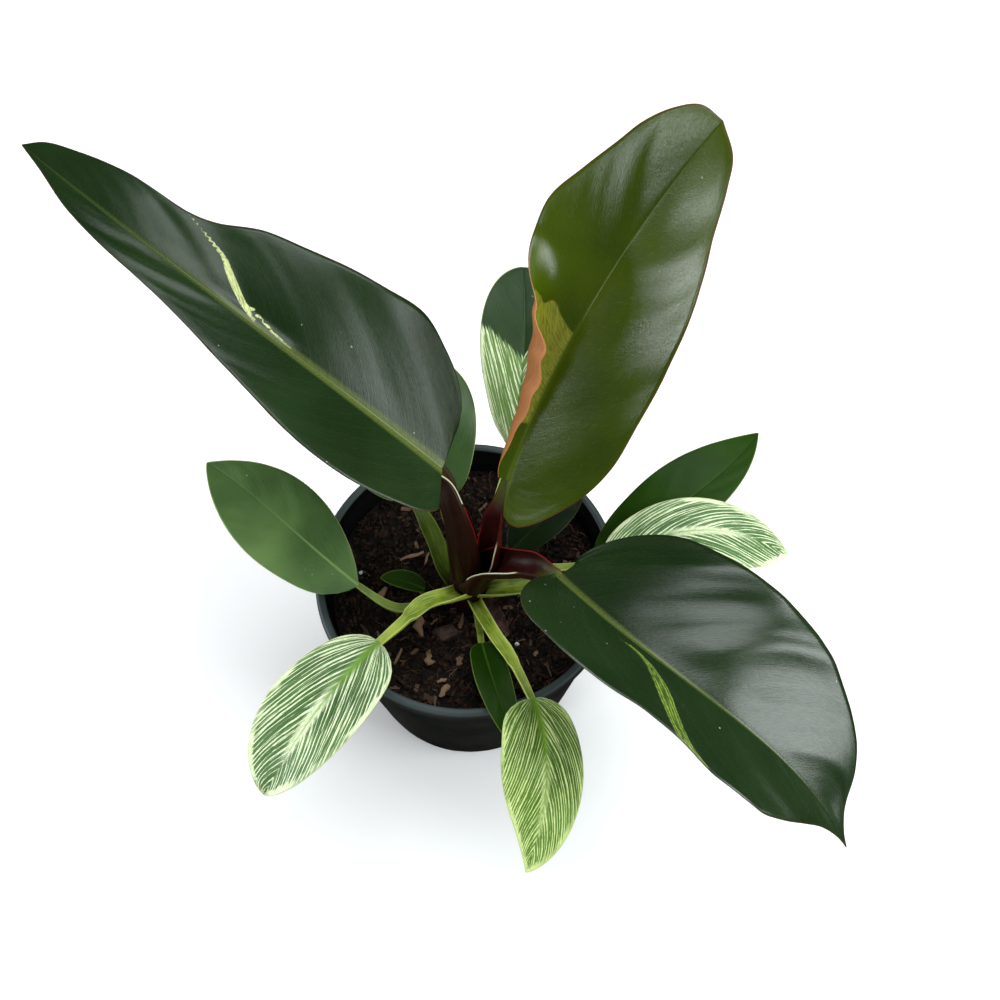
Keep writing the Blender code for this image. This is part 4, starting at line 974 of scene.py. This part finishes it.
def limeColour(tree, along, edge, tone, streak, broad):
    light = blendColour(tree, tone, rgb(0.035, 0.085, 0.006), rgb(0.37, 0.48, 0.030))
    deep = blendColour(tree, tone, rgb(0.016, 0.045, 0.003), rgb(0.19, 0.30, 0.012))
    colour = blendColour(tree, stepUp(tree, broad, 0.35, 0.65), deep, light)
    pale = blendColour(tree, tone, rgb(0.12, 0.20, 0.02), rgb(0.62, 0.68, 0.20))
    colour = blendColour(tree, stepUp(tree, streak, 0.50, 0.62, 0.0, 0.75), colour, pale)
    colour = blendColour(tree, stepUp(tree, edge, 0.05, 0.015, 0.0, 0.8), colour, pale)
    # darker and browner towards the foot
    foot = stepUp(tree, plus(tree, along, times(tree, streak, 0.10)), 0.16, 0.05, 0.0, 0.55)
    return blendColour(tree, foot, colour, rgb(0.05, 0.045, 0.008))


def maroonColour(tree, along, edge, tone, streak, broad):
    inner, red, cream = (floatAttribute(tree, w) for w in ("inner", "red", "cream"))
    colour = blendColour(tree, red, rgb(0.0075, 0.0022, 0.0010), rgb(0.050, 0.0045, 0.0028))
    olive = blendColour(tree, red, rgb(0.0100, 0.0068, 0.0012), rgb(0.022, 0.0050, 0.0018))
    colour = blendColour(tree, stepUp(tree, streak, 0.46, 0.60, 0.0, 0.7), colour, olive)
    colour = blendColour(tree, stepUp(tree, broad, 0.55, 0.75, 0.0, 0.5), colour, rgb(0.026, 0.0032, 0.0022))
    # greener inside, towards the blade
    upward = times(tree, stepUp(tree, plus(tree, along, times(tree, broad, 0.1)), 0.66, 0.88), tone)
    insideColour = blendColour(tree, upward, rgb(0.030, 0.0040, 0.0030), rgb(0.13, 0.20, 0.035))
    colour = blendColour(tree, times(tree, inner, 0.9), colour, insideColour)
    # hems: cream where the attribute is above zero, red where it is below
    hem = stepUp(tree, plus(tree, edge, times(tree, streak, -0.03)), 0.035, 0.01)
    for low, high, dye in ((0.1, 0.6, rgb(0.50, 0.49, 0.30)), (-0.1, -0.6, rgb(0.15, 0.006, 0.007))):
        colour = blendColour(tree, times(tree, hem, stepUp(tree, cream, low, high)), colour, dye)
    return colour


def stalkMaterial(name, dye, specular):
    material, tree, shader = newMaterial(name)
    along, edge, tone = (floatAttribute(tree, w) for w in ("along", "edge", "tone"))
    streak = grainValue(tree, *uvPlace(tree), (9.0, 22.0))
    broad = noiseValue(tree, objectPlace(tree), 120.0, 3.0)
    roughness = stepUp(tree, streak, 0.3, 0.7, 0.34, 0.46)
    finishShader(tree, shader, dye(tree, along, edge, tone, streak, broad), roughness, specular)
    setBump(tree, shader, plus(tree, streak, times(tree, broad, 0.4)), 0.4, 0.0004)
    return material


def paperMaterial():
    material, tree, shader = newMaterial("papery")
    grain = noiseValue(tree, objectPlace(tree), 260.0, 4.0, 0.65)
    deep, light = rgb(0.022, 0.0060, 0.0045), rgb(0.085, 0.022, 0.014)
    finishShader(tree, shader, blendColour(tree, stepUp(tree, grain, 0.4, 0.62), deep, light), 0.6)
    setBump(tree, shader, grain, 0.6, 0.0006)
    return material


def stemMesh():
    # the short stem, a little uneven and leaning above the soil
    heights = np.linspace(crown["sections"][0][0], crown["sections"][-1][0], 40)
    wide = ease(heights, crown["sections"])
    sides = crown["sides"]
    points, uv = [], []
    for i, z in enumerate(heights):
        cx, cy = crown["middle"][0], crown["middle"][1] + crown["lean"] * max(0.0, z - crown["soil"])
        for k in range(sides):
            angle = tau * k / sides
            bumps = noise.noise(Vector((math.cos(angle), math.sin(angle), z * 0.2)))
            r = wide[i] * (0.97 + 0.05 * math.sin(3 * angle + z * 0.11) + 0.03 * bumps)
            points.append((cx + r * math.cos(angle), cy + r * math.sin(angle), z))
            uv.append((z / 100.0, 2.0 * k / sides - 1.0))
    faces = tubeFaces(len(heights), sides)
    faces += [tuple(range(sides))[::-1], tuple(range(len(points) - sides, len(points)))]
    flat = {"along": 0.1, "edge": 1.0, "inner": 0.0, "red": 0.4, "cream": 0.0, "tone": 0.0}
    return np.array(points), faces, np.array(uv), {w: np.full(len(points), v) for w, v in flat.items()}


def buildCrown():
    parts = [stemMesh()]
    for name, stalk in largeStalks.items():
        depth, slim = bladeForm["large"]["keel"] * 0.7, stalk["radius"][-1][1]
        path, endFace = underBlade(largeBlades[name], stalk, stalkForm["largeRun"], depth, slim)
        looks = {w: stalk[w] for w in ("red", "cream", "tone")}
        parts.append(sheathMesh(path, stalk, endFace, rings=stalkForm["largeRings"], **looks))
    points, faces, uv, store = joinMeshes(parts)
    maroon = stalkMaterial("maroonSheath", maroonColour, 0.16)
    settle(addMesh("crown_sheaths", points, faces, [maroon], None, uv, store, turn=True), "stalk_maroon",
           "stem")


def buildStalks():
    lime = stalkMaterial("limeStalk", limeColour, 0.4)
    for name, stalk in smallStalks.items():
        run = 0.0 if name == "leaf_seedling" else stalkForm["smallRun"]
        depth = bladeForm["small"]["keel"] * 0.8
        path, endFace = underBlade(smallBlades[name], stalk, run, depth, stalk["radius"][1])
        points, faces, uv, store = sheathMesh(path, smallSheath(stalk), endFace, tone=stalk["tone"])
        node = name.replace("leaf", "stalk")
        settle(addMesh(node + "_petiole", points, faces, [lime], None, uv, store, turn=True), "stalk_lime",
               node)


def buildScale():
    points, faces, uv, store = sheathMesh(dryScale["path"], dryScale, (0.0, 0.0, 1.0))
    crumpled = []
    for p in points:
        x, y = noise.noise(Vector(p) * 0.35), noise.noise(Vector(p) * 0.35 + Vector((9, 0, 0)))
        crumpled.append((0.5 * x, 0.5 * y, 0.6 * noise.noise(Vector(p) * 0.4 + Vector((0, 9, 0)))))
    points = points + np.array(crumpled)
    piece = addMesh("dry_scale_paper", points, faces, [paperMaterial()], None, uv, store, turn=True)
    settle(piece, "dry_scale_red", "dry_scale")


print("stalks and crown")
buildCrown()
buildStalks()
buildScale()


pot = {
    "height": 90.0, "rim": 60.0, "lipHeight": 5.5, "lipWidth": 2.2, "foot": 45.0, "wall": 1.4,
    "floor": 2.0, "floorLift": 2.2, "footWidth": 2.6, "pad": 6.0, "sides": 144,
    "drains": 6, "drainRadius": 4.0, "drainCircle": 27.0, "drainSides": 32,
    "notches": 6, "notchWidth": 22.0, "notchHeight": 1.6, "notchStart": -85.0,
    "wallStep": 0.25,      # how far the wall stands out past its foot ring
}
soil = {
    "level": 75.0, "bump": 1.3, "sides": 160, "rings": 46, "foot": pot["floorLift"] + pot["floor"] + 0.3,
    "clods": 2600, "chips": 330, "fibres": 620, "seed": 11,
    # x, y, turn, size and paleness of the pieces that stand out
    "flakes": [(-23, 13, 20, 1.5, 1.0), (-17, 12, 75, 1.1, 0.9), (-9.5, -41, 15, 0.7, 1.0),
               (-8.5, -45, 50, 0.8, 0.95), (-35, -4, 60, 1.4, 0.9), (-19, -18, 95, 1.2, 0.9),
               (-15, -32, 100, 1.5, 0.85), (-27, -31, 70, 1.2, 0.86), (24, 18, 30, 1.2, 0.9),
               (35, 8, 80, 1.0, 0.85)],
    "lump": (-8.4, -20.5, 76.2), "whiteGrains": [(19.7, -25.2), (-43.6, 5.9)],
}


def wallRadius(z):
    return pot["foot"] + (pot["rim"] - pot["lipWidth"] - pot["foot"]) * z / (pot["height"] - pot["lipHeight"])


def roundedProfile(corners, steps=4):
    # (radius, z, rounding) corners, each rounded by a short arc where it has a rounding
    made = []
    for i, (r, z, soft) in enumerate(corners):
        here = Vector((r, z))
        if not soft:
            made.append((r, z))
            continue
        before = Vector(corners[i - 1][:2]) - here
        after = Vector(corners[(i + 1) % len(corners)][:2]) - here
        start, end = here + before.normalized() * soft, here + after.normalized() * soft
        for k in range(steps + 1):
            t = k / steps
            made.append(tuple(start * (1 - t) ** 2 + here * 2 * t * (1 - t) + end * t ** 2))
    return made


def revolve(name, profile, sides, materials):
    points, faces = [], []
    onAxis = {}
    ids = []
    for k in range(sides):
        row = []
        for i, (r, z) in enumerate(profile):
            if r < 1e-6:
                if i not in onAxis:
                    onAxis[i] = len(points)
                    points.append((0.0, 0.0, z))
                row.append(onAxis[i])
            else:
                row.append(len(points))
                points.append((r * math.cos(tau * k / sides), r * math.sin(tau * k / sides), z))
        ids.append(row)
    count = len(profile)
    for k in range(sides):
        for i in range(count):
            corners = []
            for v in (ids[k][i], ids[(k + 1) % sides][i], ids[(k + 1) % sides][(i + 1) % count],
                      ids[k][(i + 1) % count]):
                if v not in corners:
                    corners.append(v)
            if len(corners) > 2:
                faces.append(corners)
    return addMesh(name, points, faces, materials, turn=True)


def cutAway(piece, cutters):
    group = bpy.data.collections.new("cutters")
    for cutter in cutters:
        group.objects.link(cutter)
    modifier = piece.modifiers.new("cut", "BOOLEAN")
    modifier.operation = "DIFFERENCE"
    modifier.solver = "EXACT"
    modifier.operand_type = "COLLECTION"
    modifier.collection = group
    bpy.context.view_layer.update()
    made = bpy.data.meshes.new_from_object(piece.evaluated_get(bpy.context.evaluated_depsgraph_get()))
    piece.modifiers.clear()
    piece.data = made
    for cutter in cutters:
        bpy.data.objects.remove(cutter, do_unlink=True)
    bpy.data.collections.remove(group)


def prismCutter(name, low, high):
    # a closed block between two outlines
    count = len(low)
    faces = [tuple(range(count))[::-1], tuple(range(count, 2 * count))] + tubeFaces(2, count)
    return addMesh(name, low + high, faces, [], turn=True)


def potProfile(floorTop):
    # (radius, z, rounding) corners, from the middle of the underside up the wall and down to the inside floor
    top, lip = pot["height"], pot["height"] - pot["lipHeight"]
    rim, lift = pot["rim"], pot["floorLift"]
    foot, footInner = pot["foot"], pot["foot"] - pot["footWidth"]
    mouth, out = wallRadius(lip) - pot["wall"], pot["wallStep"]
    corners = [(0, 0, 0), (pot["pad"], 0, 0.3), (pot["pad"], lift, 0.3), (footInner, lift, 0.4),
               (footInner, 0, 0.4), (foot, 0, 0.7), (wallRadius(6), 6, 0.8), (wallRadius(6) + out, 6.6, 0.3)]
    corners += [(wallRadius(z) + out, z, 0) for z in (20, 35, 50, 65, 78)]
    corners += [(wallRadius(lip) + 0.2, lip - 0.4, 0.3), (rim - 0.3, lip, 0.35), (rim, top - 1.6, 0.8),
                (rim - 1.0, top, 0.7), (mouth + 0.7, top, 0.5), (mouth, top - 0.9, 0.4), (mouth, lip - 2, 0)]
    corners += [(wallRadius(z) - pot["wall"], z, 0) for z in (70, 45, 20)]
    return corners + [(wallRadius(floorTop) - pot["wall"], floorTop, 0.6), (0, floorTop, 0)]


def plasticMaterial():
    material, tree, shader = newMaterial("blackPlastic")
    place = objectPlace(tree)
    grain, cloud = noiseValue(tree, place, 1500.0), noiseValue(tree, place, 45.0, 3.0)
    height = addNode(tree, "ShaderNodeSeparateXYZ", {0: place}).outputs[2]
    dull, pale = rgb(0.0160, 0.0168, 0.0150), rgb(0.0235, 0.0245, 0.0215)
    colour = blendColour(tree, stepUp(tree, cloud, 0.35, 0.7), dull, pale)
    # a film of dried dust, most of it low on the wall
    dust = times(tree, stepUp(tree, noiseValue(tree, place, 160.0, 4.0, 0.7), 0.52, 0.75),
                 stepUp(tree, height, 0.05, 0.0, 0.08, 0.30))
    colour = blendColour(tree, dust, colour, rgb(0.10, 0.085, 0.065))
    # painted shade: darker inside the pot, told by how far a point lies within the outer wall
    flat = addNode(tree, "ShaderNodeVectorMath", {0: place, 1: (1.0, 1.0, 0.0)}, operation="MULTIPLY")
    radius = addNode(tree, "ShaderNodeVectorMath", {0: flat.outputs[0]}, operation="LENGTH").outputs["Value"]
    wall = plus(tree, times(tree, height, wallRadius(1.0) - pot["foot"]), pot["foot"] * mm)
    inward = maths(tree, "SUBTRACT", wall, radius)
    colour = blendColour(tree, stepUp(tree, inward, 0.0008, 0.0012), colour, rgb(0.0035, 0.0038, 0.0036))
    # painted highlight: the lip's top painted a paler blue-grey where the light's gloss line runs along it
    paintedLipHighlight = times(tree, stepUp(tree, height, 0.0886, 0.0895), stepUp(tree, cloud, 0.25, 0.6, 0.55, 1.0))
    colour = blendColour(tree, paintedLipHighlight, colour, rgb(0.050, 0.064, 0.066))
    finishShader(tree, shader, colour, stepUp(tree, cloud, 0.3, 0.7, 0.40, 0.46), 0.14)
    setBump(tree, shader, grain, 0.18, 0.0002)
    return material


def buildPot():
    floorTop = pot["floorLift"] + pot["floor"]
    piece = revolve("nursery_pot_shell", roundedProfile(potProfile(floorTop)), pot["sides"],
                    [plasticMaterial()])
    cutters = []
    radius, circle, count = pot["drainRadius"], pot["drainCircle"], pot["drainSides"]
    for k in range(pot["drains"]):
        angle = tau * (k + 0.5) / pot["drains"]
        cx, cy = circle * math.cos(angle), circle * math.sin(angle)
        turns = [tau * i / count for i in range(count)]
        ring = [(cx + radius * math.cos(t), cy + radius * math.sin(t)) for t in turns]
        low, high = ([(x, y, z) for x, y in ring] for z in (pot["floorLift"] - 1.0, floorTop + 1.0))
        cutters.append(prismCutter("drainCutter", low, high))
    middle, deep = pot["foot"] - pot["footWidth"] / 2, pot["footWidth"] * 2
    half, rise = pot["notchWidth"] / 2, pot["notchHeight"]
    outline = [(-half, -1), (half, -1), (half - 0.9, rise * 0.8), (half - 2.0, rise),
               (2.0 - half, rise), (0.9 - half, rise * 0.8)]
    for k in range(pot["notches"]):
        angle = math.radians(pot["notchStart"]) + tau * k / pot["notches"]
        cos, sin = math.cos(angle), math.sin(angle)
        low, high = [], []
        for end, reach in ((low, middle - deep), (high, middle + deep)):
            end.extend((reach * cos - side * sin, reach * sin + side * cos, z) for side, z in outline)
        cutters.append(prismCutter("notchCutter", low, high))
    cutAway(piece, cutters)
    piece.data.shade_smooth()
    piece.data.set_sharp_from_angle(angle=math.radians(38.0))
    settle(piece, "pot_black_plastic", "nursery_pot")


def soilHeight(x, y):
    swell = math.sin(x * 0.17 + 1.0) * math.cos(y * 0.21 - 0.5) + 0.6 * math.sin(x * 0.31 - y * 0.27)
    return soil["level"] + soil["bump"] * (0.5 * swell + 0.5 * (math.hypot(x, y) / pot["rim"]) ** 2)


def soilMaterial(name, deep, light, pale, roughness=0.9):
    # tone: 0 plain, reddish about 0.45, palest at 1
    material, tree, shader = newMaterial(name)
    place = objectPlace(tree)
    tone = floatAttribute(tree, "tone")
    coarse, fine = noiseValue(tree, place, 240.0, 4.0, 0.7), noiseValue(tree, place, 1400.0, 3.0, 0.7)
    colour = blendColour(tree, stepUp(tree, coarse, 0.38, 0.68), deep, light)
    red = blendColour(tree, 0.5, light, rgb(0.060, 0.016, 0.008))
    reddish = times(tree, stepUp(tree, tone, 0.28, 0.40), stepUp(tree, tone, 0.62, 0.5))
    colour = blendColour(tree, reddish, colour, red)
    colour = blendColour(tree, stepUp(tree, tone, 0.60, 0.95), colour, pale)
    colour = blendColour(tree, stepUp(tree, fine, 0.5, 0.8, 0.0, 0.5), colour, deep)
    finishShader(tree, shader, colour, roughness, 0.25)
    setBump(tree, shader, plus(tree, coarse, times(tree, fine, 0.6)), 0.8, 0.001)
    return material


def crumb(name, seed, size, subdivisions, rough, smooth):
    # a small irregular lump of few faces
    chance = random.Random(seed)
    work = bmesh.new()
    bmesh.ops.create_icosphere(work, subdivisions=subdivisions, radius=1.0)
    for vertex in work.verts:
        push = 1.0 + rough * noise.noise(vertex.co * 1.4 + Vector((seed, 0, 0))) + chance.uniform(-0.10, 0.10)
        vertex.co = Vector((vertex.co.x * size[0], vertex.co.y * size[1], vertex.co.z * size[2])) * push * mm
    mesh = bpy.data.meshes.new(name)
    work.to_mesh(mesh)
    work.free()
    if smooth:
        mesh.shade_smooth()
    return bpy.data.objects.new(name, mesh)


def looseBar(name, points, count):
    # a closed bar through rings of count points each
    ends = [tuple(range(count))[::-1], tuple(range(len(points) - count, len(points)))]
    mesh = bpy.data.meshes.new(name)
    mesh.from_pydata([tuple(c * mm for c in p) for p in points], [],
                     tubeFaces(len(points) // count, count) + ends)
    return bpy.data.objects.new(name, mesh)


def splinter(name, seed):
    # an angular flake of bark: a bent, tapered slab with a broken outline
    chance = random.Random(seed)
    long, wide, thick = chance.uniform(1.2, 4.0), chance.uniform(0.35, 1.7), chance.uniform(0.25, 0.8)
    points = []
    cuts = 5
    for i in range(cuts):
        t = i / (cuts - 1) * 2.0 - 1.0
        half = wide * (1.0 - 0.45 * abs(t) ** 4) * chance.uniform(0.55, 1.15)
        shift = chance.uniform(-0.45, 0.45) * wide
        bend = 0.25 * t * t * chance.uniform(0.6, 1.4)
        for side, rise in ((-1, -1), (1, -1), (1, 1), (-1, 1)):
            points.append((t * long * chance.uniform(0.94, 1.04), side * half + shift,
                           rise * thick * chance.uniform(0.6, 1.0) + bend))
    return looseBar(name, points, 4)


def fibre(name, seed):
    # a thin bent root or coir thread with three sides
    chance = random.Random(seed)
    long = chance.uniform(3.0, 9.5)
    bendY, bendZ = chance.uniform(-1.3, 1.3), chance.uniform(0.1, 0.8)
    points = []
    cuts = 8
    for i in range(cuts):
        t = i / (cuts - 1)
        arch = math.sin(math.pi * t)
        middle = Vector(((t - 0.5) * long, bendY * arch + 0.5 * math.sin(6 * t + seed), bendZ * arch))
        thick = 0.12 * (1.0 - 0.6 * abs(2 * t - 1))
        for k in range(3):
            angle = tau * k / 3
            points.append((middle.x, middle.y + thick * math.cos(angle), middle.z + thick * math.sin(angle)))
    return looseBar(name, points, 3)


def scatterTree(name):
    # scatters a collection's shapes over a surface, each turned, sized and given its own tone
    tree = bpy.data.node_groups.new(name, "GeometryNodeTree")
    kinds = {"Geometry": "Geometry", "Shapes": "Collection", "Material": "Material", "Count": "Float",
             "Smallest": "Float", "Largest": "Float", "Tilt": "Float", "Lift": "Float", "Seed": "Int"}
    inputs = {}
    for label, kind in kinds.items():
        made = tree.interface.new_socket(label, in_out="INPUT", socket_type="NodeSocket" + kind)
        inputs[label] = made.identifier
    tree.interface.new_socket("Geometry", in_out="OUTPUT", socket_type="NodeSocketGeometry")
    given = {socket.name: socket for socket in tree.nodes.new("NodeGroupInput").outputs if socket.name}

    def chance(shift, low=0.0, high=1.0):
        # a random value for each shape, its seed shifted from the given one
        seed = plus(tree, given["Seed"], shift) if shift else given["Seed"]
        return addNode(tree, "FunctionNodeRandomValue", {2: low, 3: high, "Seed": seed},
                       data_type="FLOAT").outputs[1]

    points = addNode(tree, "GeometryNodeDistributePointsOnFaces",
                     {"Mesh": given["Geometry"], "Density": given["Count"], "Seed": given["Seed"]})
    shapes = addNode(tree, "GeometryNodeCollectionInfo",
                     {"Collection": given["Shapes"], "Separate Children": True, "Reset Children": True})
    back = times(tree, given["Tilt"], -1.0)
    lean, leanMore = chance(0.0, back, given["Tilt"]), chance(7.0, back, given["Tilt"])
    turn = addNode(tree, "ShaderNodeCombineXYZ", {0: lean, 1: leanMore, 2: chance(0.0, 0.0, tau)})
    placed = addNode(tree, "GeometryNodeInstanceOnPoints",
                     {"Points": points.outputs["Points"], "Instance": shapes.outputs[0],
                      "Pick Instance": True,
                      "Rotation": turn.outputs[0], "Scale": chance(3.0, given["Smallest"], given["Largest"])})
    kept = addNode(tree, "GeometryNodeStoreNamedAttribute", {"Geometry": placed.outputs[0], "Name": "tone"},
                   data_type="FLOAT", domain="INSTANCE")
    tree.links.new(chance(5.0), kept.inputs["Value"])
    upward = addNode(tree, "ShaderNodeCombineXYZ", {2: given["Lift"]})
    moved = addNode(tree, "GeometryNodeTranslateInstances",
                    {"Instances": kept.outputs[0], "Translation": upward.outputs[0], "Local Space": False})
    real = addNode(tree, "GeometryNodeRealizeInstances", {"Geometry": moved.outputs[0]})
    dressed = addNode(tree, "GeometryNodeSetMaterial",
                      {"Geometry": real.outputs[0], "Material": given["Material"]})
    addNode(tree, "NodeGroupOutput", {0: dressed.outputs[0]})
    return tree, inputs


def scatter(name, surface, shapes, material, tree, inputs, values):
    group = bpy.data.collections.new(name + "Shapes")
    for shape in shapes:
        group.objects.link(shape)
    holder = bpy.data.objects.new(name, surface.copy())
    bpy.context.scene.collection.objects.link(holder)
    modifier = holder.modifiers.new("scatter", "NODES")
    modifier.node_group = tree
    for label, value in list(values.items()) + [("Shapes", group), ("Material", material)]:
        modifier[inputs[label]] = value
    bpy.context.view_layer.update()
    made = bpy.data.meshes.new_from_object(holder.evaluated_get(bpy.context.evaluated_depsgraph_get()))
    holder.modifiers.clear()
    holder.data = made
    for shape in shapes:
        bpy.data.objects.remove(shape, do_unlink=True)
    bpy.data.collections.remove(group)
    settle(holder, "soil_dark_brown")


def placeByHand(name, items, material):
    # shapes that catch the eye, each laid where it is seen and leaning a little
    points, faces, tones = [], [], []
    for shape, x, y, z, turn, size, tone in items:
        turned = Matrix.Rotation(math.radians(turn), 3, "Z") @ Matrix.Rotation(math.radians(8), 3, "X")
        start = len(points)
        points += [turned @ (v.co / mm * size) + Vector((x, y, z)) for v in shape.data.vertices]
        faces += [tuple(i + start for i in f.vertices) for f in shape.data.polygons]
        tones += [tone] * len(shape.data.vertices)
        bpy.data.objects.remove(shape, do_unlink=True)
    settle(addMesh(name, points, faces, [material], attributes={"tone": tones}, turn=True), "soil_dark_brown")


def buildStandouts():
    flakes = [(splinter("bigFlake%d" % i, 140 + i), x, y, soilHeight(x, y) + 1.6, turn, size, tone)
              for i, (x, y, turn, size, tone) in enumerate(soil["flakes"])]
    bark = soilMaterial("paleBark", rgb(0.030, 0.016, 0.010), rgb(0.085, 0.050, 0.030),
                        rgb(0.26, 0.165, 0.095), 0.8)
    placeByHand("soil_flakes", flakes, bark)
    x, y, z = soil["lump"]
    clay = soilMaterial("clay", rgb(0.040, 0.024, 0.018), rgb(0.085, 0.052, 0.040), rgb(0.12, 0.08, 0.06))
    lump = crumb("lump", 7, (4.6, 3.4, 2.4), 3, 0.45, True)
    placeByHand("soil_lump", [(lump, x, y, z, 15, 1.0, 0.0)], clay)
    grains = []
    for i, (x, y) in enumerate(soil["whiteGrains"]):
        grain = crumb("grain%d" % i, 90 + i, (0.9, 0.8, 0.8), 2, 0.35, True)
        grains.append((grain, x, y, soilHeight(x, y) + 1.2, 40 * i, 1.0, 1.0))
    white = soilMaterial("perlite", rgb(0.45, 0.45, 0.43), rgb(0.62, 0.62, 0.60), rgb(0.7, 0.7, 0.68), 0.7)
    placeByHand("soil_perlite", grains, white)


def soilMesh():
    # a closed body: a flat foot, and a lumpy top of rings that calms down at the wall
    footRadius, topRadius = (wallRadius(z) - pot["wall"] - 0.25 for z in (soil["foot"], soil["level"]))
    sides, rings = soil["sides"], soil["rings"]
    points = [(0, 0, soil["foot"])]
    for k in range(sides):
        angle = tau * k / sides
        points.append((footRadius * math.cos(angle), footRadius * math.sin(angle), soil["foot"]))
    for ring in range(rings, 0, -1):
        radius = topRadius * (ring / rings)
        for k in range(sides):
            angle = tau * (k + 0.5 * (ring % 2)) / sides
            x, y = radius * math.cos(angle), radius * math.sin(angle)
            place = Vector((x, y, 0.0))
            clump = noise.fractal(place * 0.16, 0.9, 2.1, 4) * 1.1
            clump = clump + 0.9 * abs(noise.noise(place * 0.42)) - 0.4
            grit = noise.noise(place * 1.3) * 0.45
            inside = min(1.0, (topRadius - radius) / 2.0)
            points.append((x, y, soilHeight(x, y) + clump * inside + grit * inside))
    points.append((0, 0, soilHeight(0, 0)))
    last = 1 + rings * sides
    faces = [(0, 1 + (k + 1) % sides, 1 + k) for k in range(sides)] + tubeFaces(rings + 1, sides, 1)
    faces += [(last + k, last + (k + 1) % sides, len(points) - 1) for k in range(sides)]
    return points, faces, topRadius


def buildSoil():
    points, faces, topRadius = soilMesh()
    deep, light, pale = rgb(0.0040, 0.0024, 0.0016), rgb(0.014, 0.0078, 0.0048), rgb(0.030, 0.017, 0.010)
    ground = soilMaterial("darkCompost", deep, light, pale)
    plain = {"tone": np.zeros(len(points))}
    piece = addMesh("soil_surface", points, faces, [ground], attributes=plain, turn=True)
    settle(piece, "soil_dark_brown", "soil")
    # the scatters use the open top alone, away from the wall
    sides, rings = soil["sides"], soil["rings"]
    top = bpy.data.meshes.new("soilTop")
    top.from_pydata([tuple(c * mm for c in p) for p in points], [], faces[3 * sides:(rings + 1) * sides])
    tree, inputs = scatterTree("scatterOverSoil")
    area = math.pi * (topRadius * mm) ** 2
    clods = [crumb("clod%d" % i, 20 + i, (1.0 + 0.3 * (i % 3), 0.9, 0.7), 1, 0.5, False) for i in range(6)]
    chips = [splinter("flake%d" % i, 40 + i) for i in range(9)]
    threads = [fibre("thread%d" % i, 60 + i) for i in range(8)]
    crumbs = soilMaterial("crumbs", rgb(0.0045, 0.0028, 0.0018), rgb(0.016, 0.0090, 0.0055),
                          rgb(0.040, 0.023, 0.014))
    bark = soilMaterial("bark", rgb(0.010, 0.0050, 0.0030), rgb(0.038, 0.020, 0.011),
                        rgb(0.19, 0.115, 0.070), 0.8)
    coir = soilMaterial("coir", rgb(0.020, 0.010, 0.006), rgb(0.05, 0.028, 0.016), rgb(0.20, 0.13, 0.08),
                        0.75)
    layers = [("soil_crumbs", clods, crumbs, soil["clods"], 0.35, 1.25, 0.9, 0.3),
              ("soil_bark", chips, bark, soil["chips"], 0.35, 1.0, 0.45, 0.7),
              ("soil_fibres", threads, coir, soil["fibres"], 0.5, 1.1, 0.22, 1.0)]
    for i, (name, shapes, material, count, smallest, largest, tilt, lift) in enumerate(layers):
        values = {"Count": count / area, "Smallest": smallest, "Largest": largest, "Tilt": tilt,
                  "Lift": lift * mm, "Seed": soil["seed"] + i}
        scatter(name, top, shapes, material, tree, inputs, values)
    buildStandouts()


print("pot and soil")
buildPot()
buildSoil()


studio = {
    "camera": (13.0, -207.95, 516.05), "tilt": 29.4, "lens": 43.2,
    "floor": rgb(0.93, 0.93, 0.93), "floorReach": 6000, "world": 0.62,
    "lights": {
        "keyLight": {"place": (1225, -330, 830), "aim": (0, 0, 120), "size": (0.72, 1.25), "watts": 21.0},
        "overheadLight": {"place": (170, 430, 1450), "aim": (0, 0, 100), "size": (1.10, 1.00), "watts": 15.0},
        "sideLight": {"place": (-760, 20, 96), "aim": (90, 50, 210), "size": (0.40, 0.20), "watts": 3.6},
        "frontLight": {"place": (-800, -690, 600), "aim": (60, 60, 220), "size": (0.26, 0.26), "watts": 2.2},
    },
}


def addLight(name, values):
    lamp = bpy.data.lights.new(name, "AREA")
    lamp.shape = "RECTANGLE"
    lamp.size, lamp.size_y = values["size"]
    lamp.energy = values["watts"]
    lamp.color = (0.95, 0.99, 1.0)
    holder = bpy.data.objects.new(name, lamp)
    bpy.context.scene.collection.objects.link(holder)
    place = Vector(values["place"]) * mm
    holder.location = place
    holder.rotation_euler = (Vector(values["aim"]) * mm - place).to_track_quat("-Z", "Y").to_euler()


def buildFloor():
    material, tree, shader = newMaterial("paleFloor")
    shade = noiseValue(tree, objectPlace(tree), 3.0)
    finishShader(tree, shader, blendColour(tree, shade, studio["floor"], rgb(0.95, 0.95, 0.95)), 0.8, 0.0)
    far = studio["floorReach"]
    corners = [(-far, -far, 0), (far, -far, 0), (far, far, 0), (-far, far, 0)]
    floor = addMesh("floor", corners, [(0, 1, 2, 3)], [material])
    floor.visible_glossy = False      # the leaves and the pot mirror the studio's dark, not its floor


def buildStudio():
    scene = bpy.context.scene
    lens = bpy.data.cameras.new("camera")
    lens.sensor_width = 36.0
    lens.lens = studio["lens"]
    camera = bpy.data.objects.new("camera", lens)
    scene.collection.objects.link(camera)
    camera.location = Vector(studio["camera"]) * mm
    camera.rotation_euler = (math.radians(studio["tilt"]), 0.0, 0.0)
    scene.camera = camera
    buildFloor()
    world = bpy.data.worlds.new("studio")
    world.use_nodes = True
    background = world.node_tree.nodes["Background"]
    background.inputs["Color"].default_value = rgb(0.95, 0.97, 1.0)
    background.inputs["Strength"].default_value = studio["world"]
    visibility = getattr(world, "cycles_visibility", None)
    if visibility:      # the pale surround lights the plant softly, and only the lamps show as gloss
        visibility.glossy = False
    scene.world = world
    for lightName, values in studio["lights"].items():
        addLight(lightName, values)
    scene.view_settings.view_transform = "Standard"


print("studio")
buildStudio()
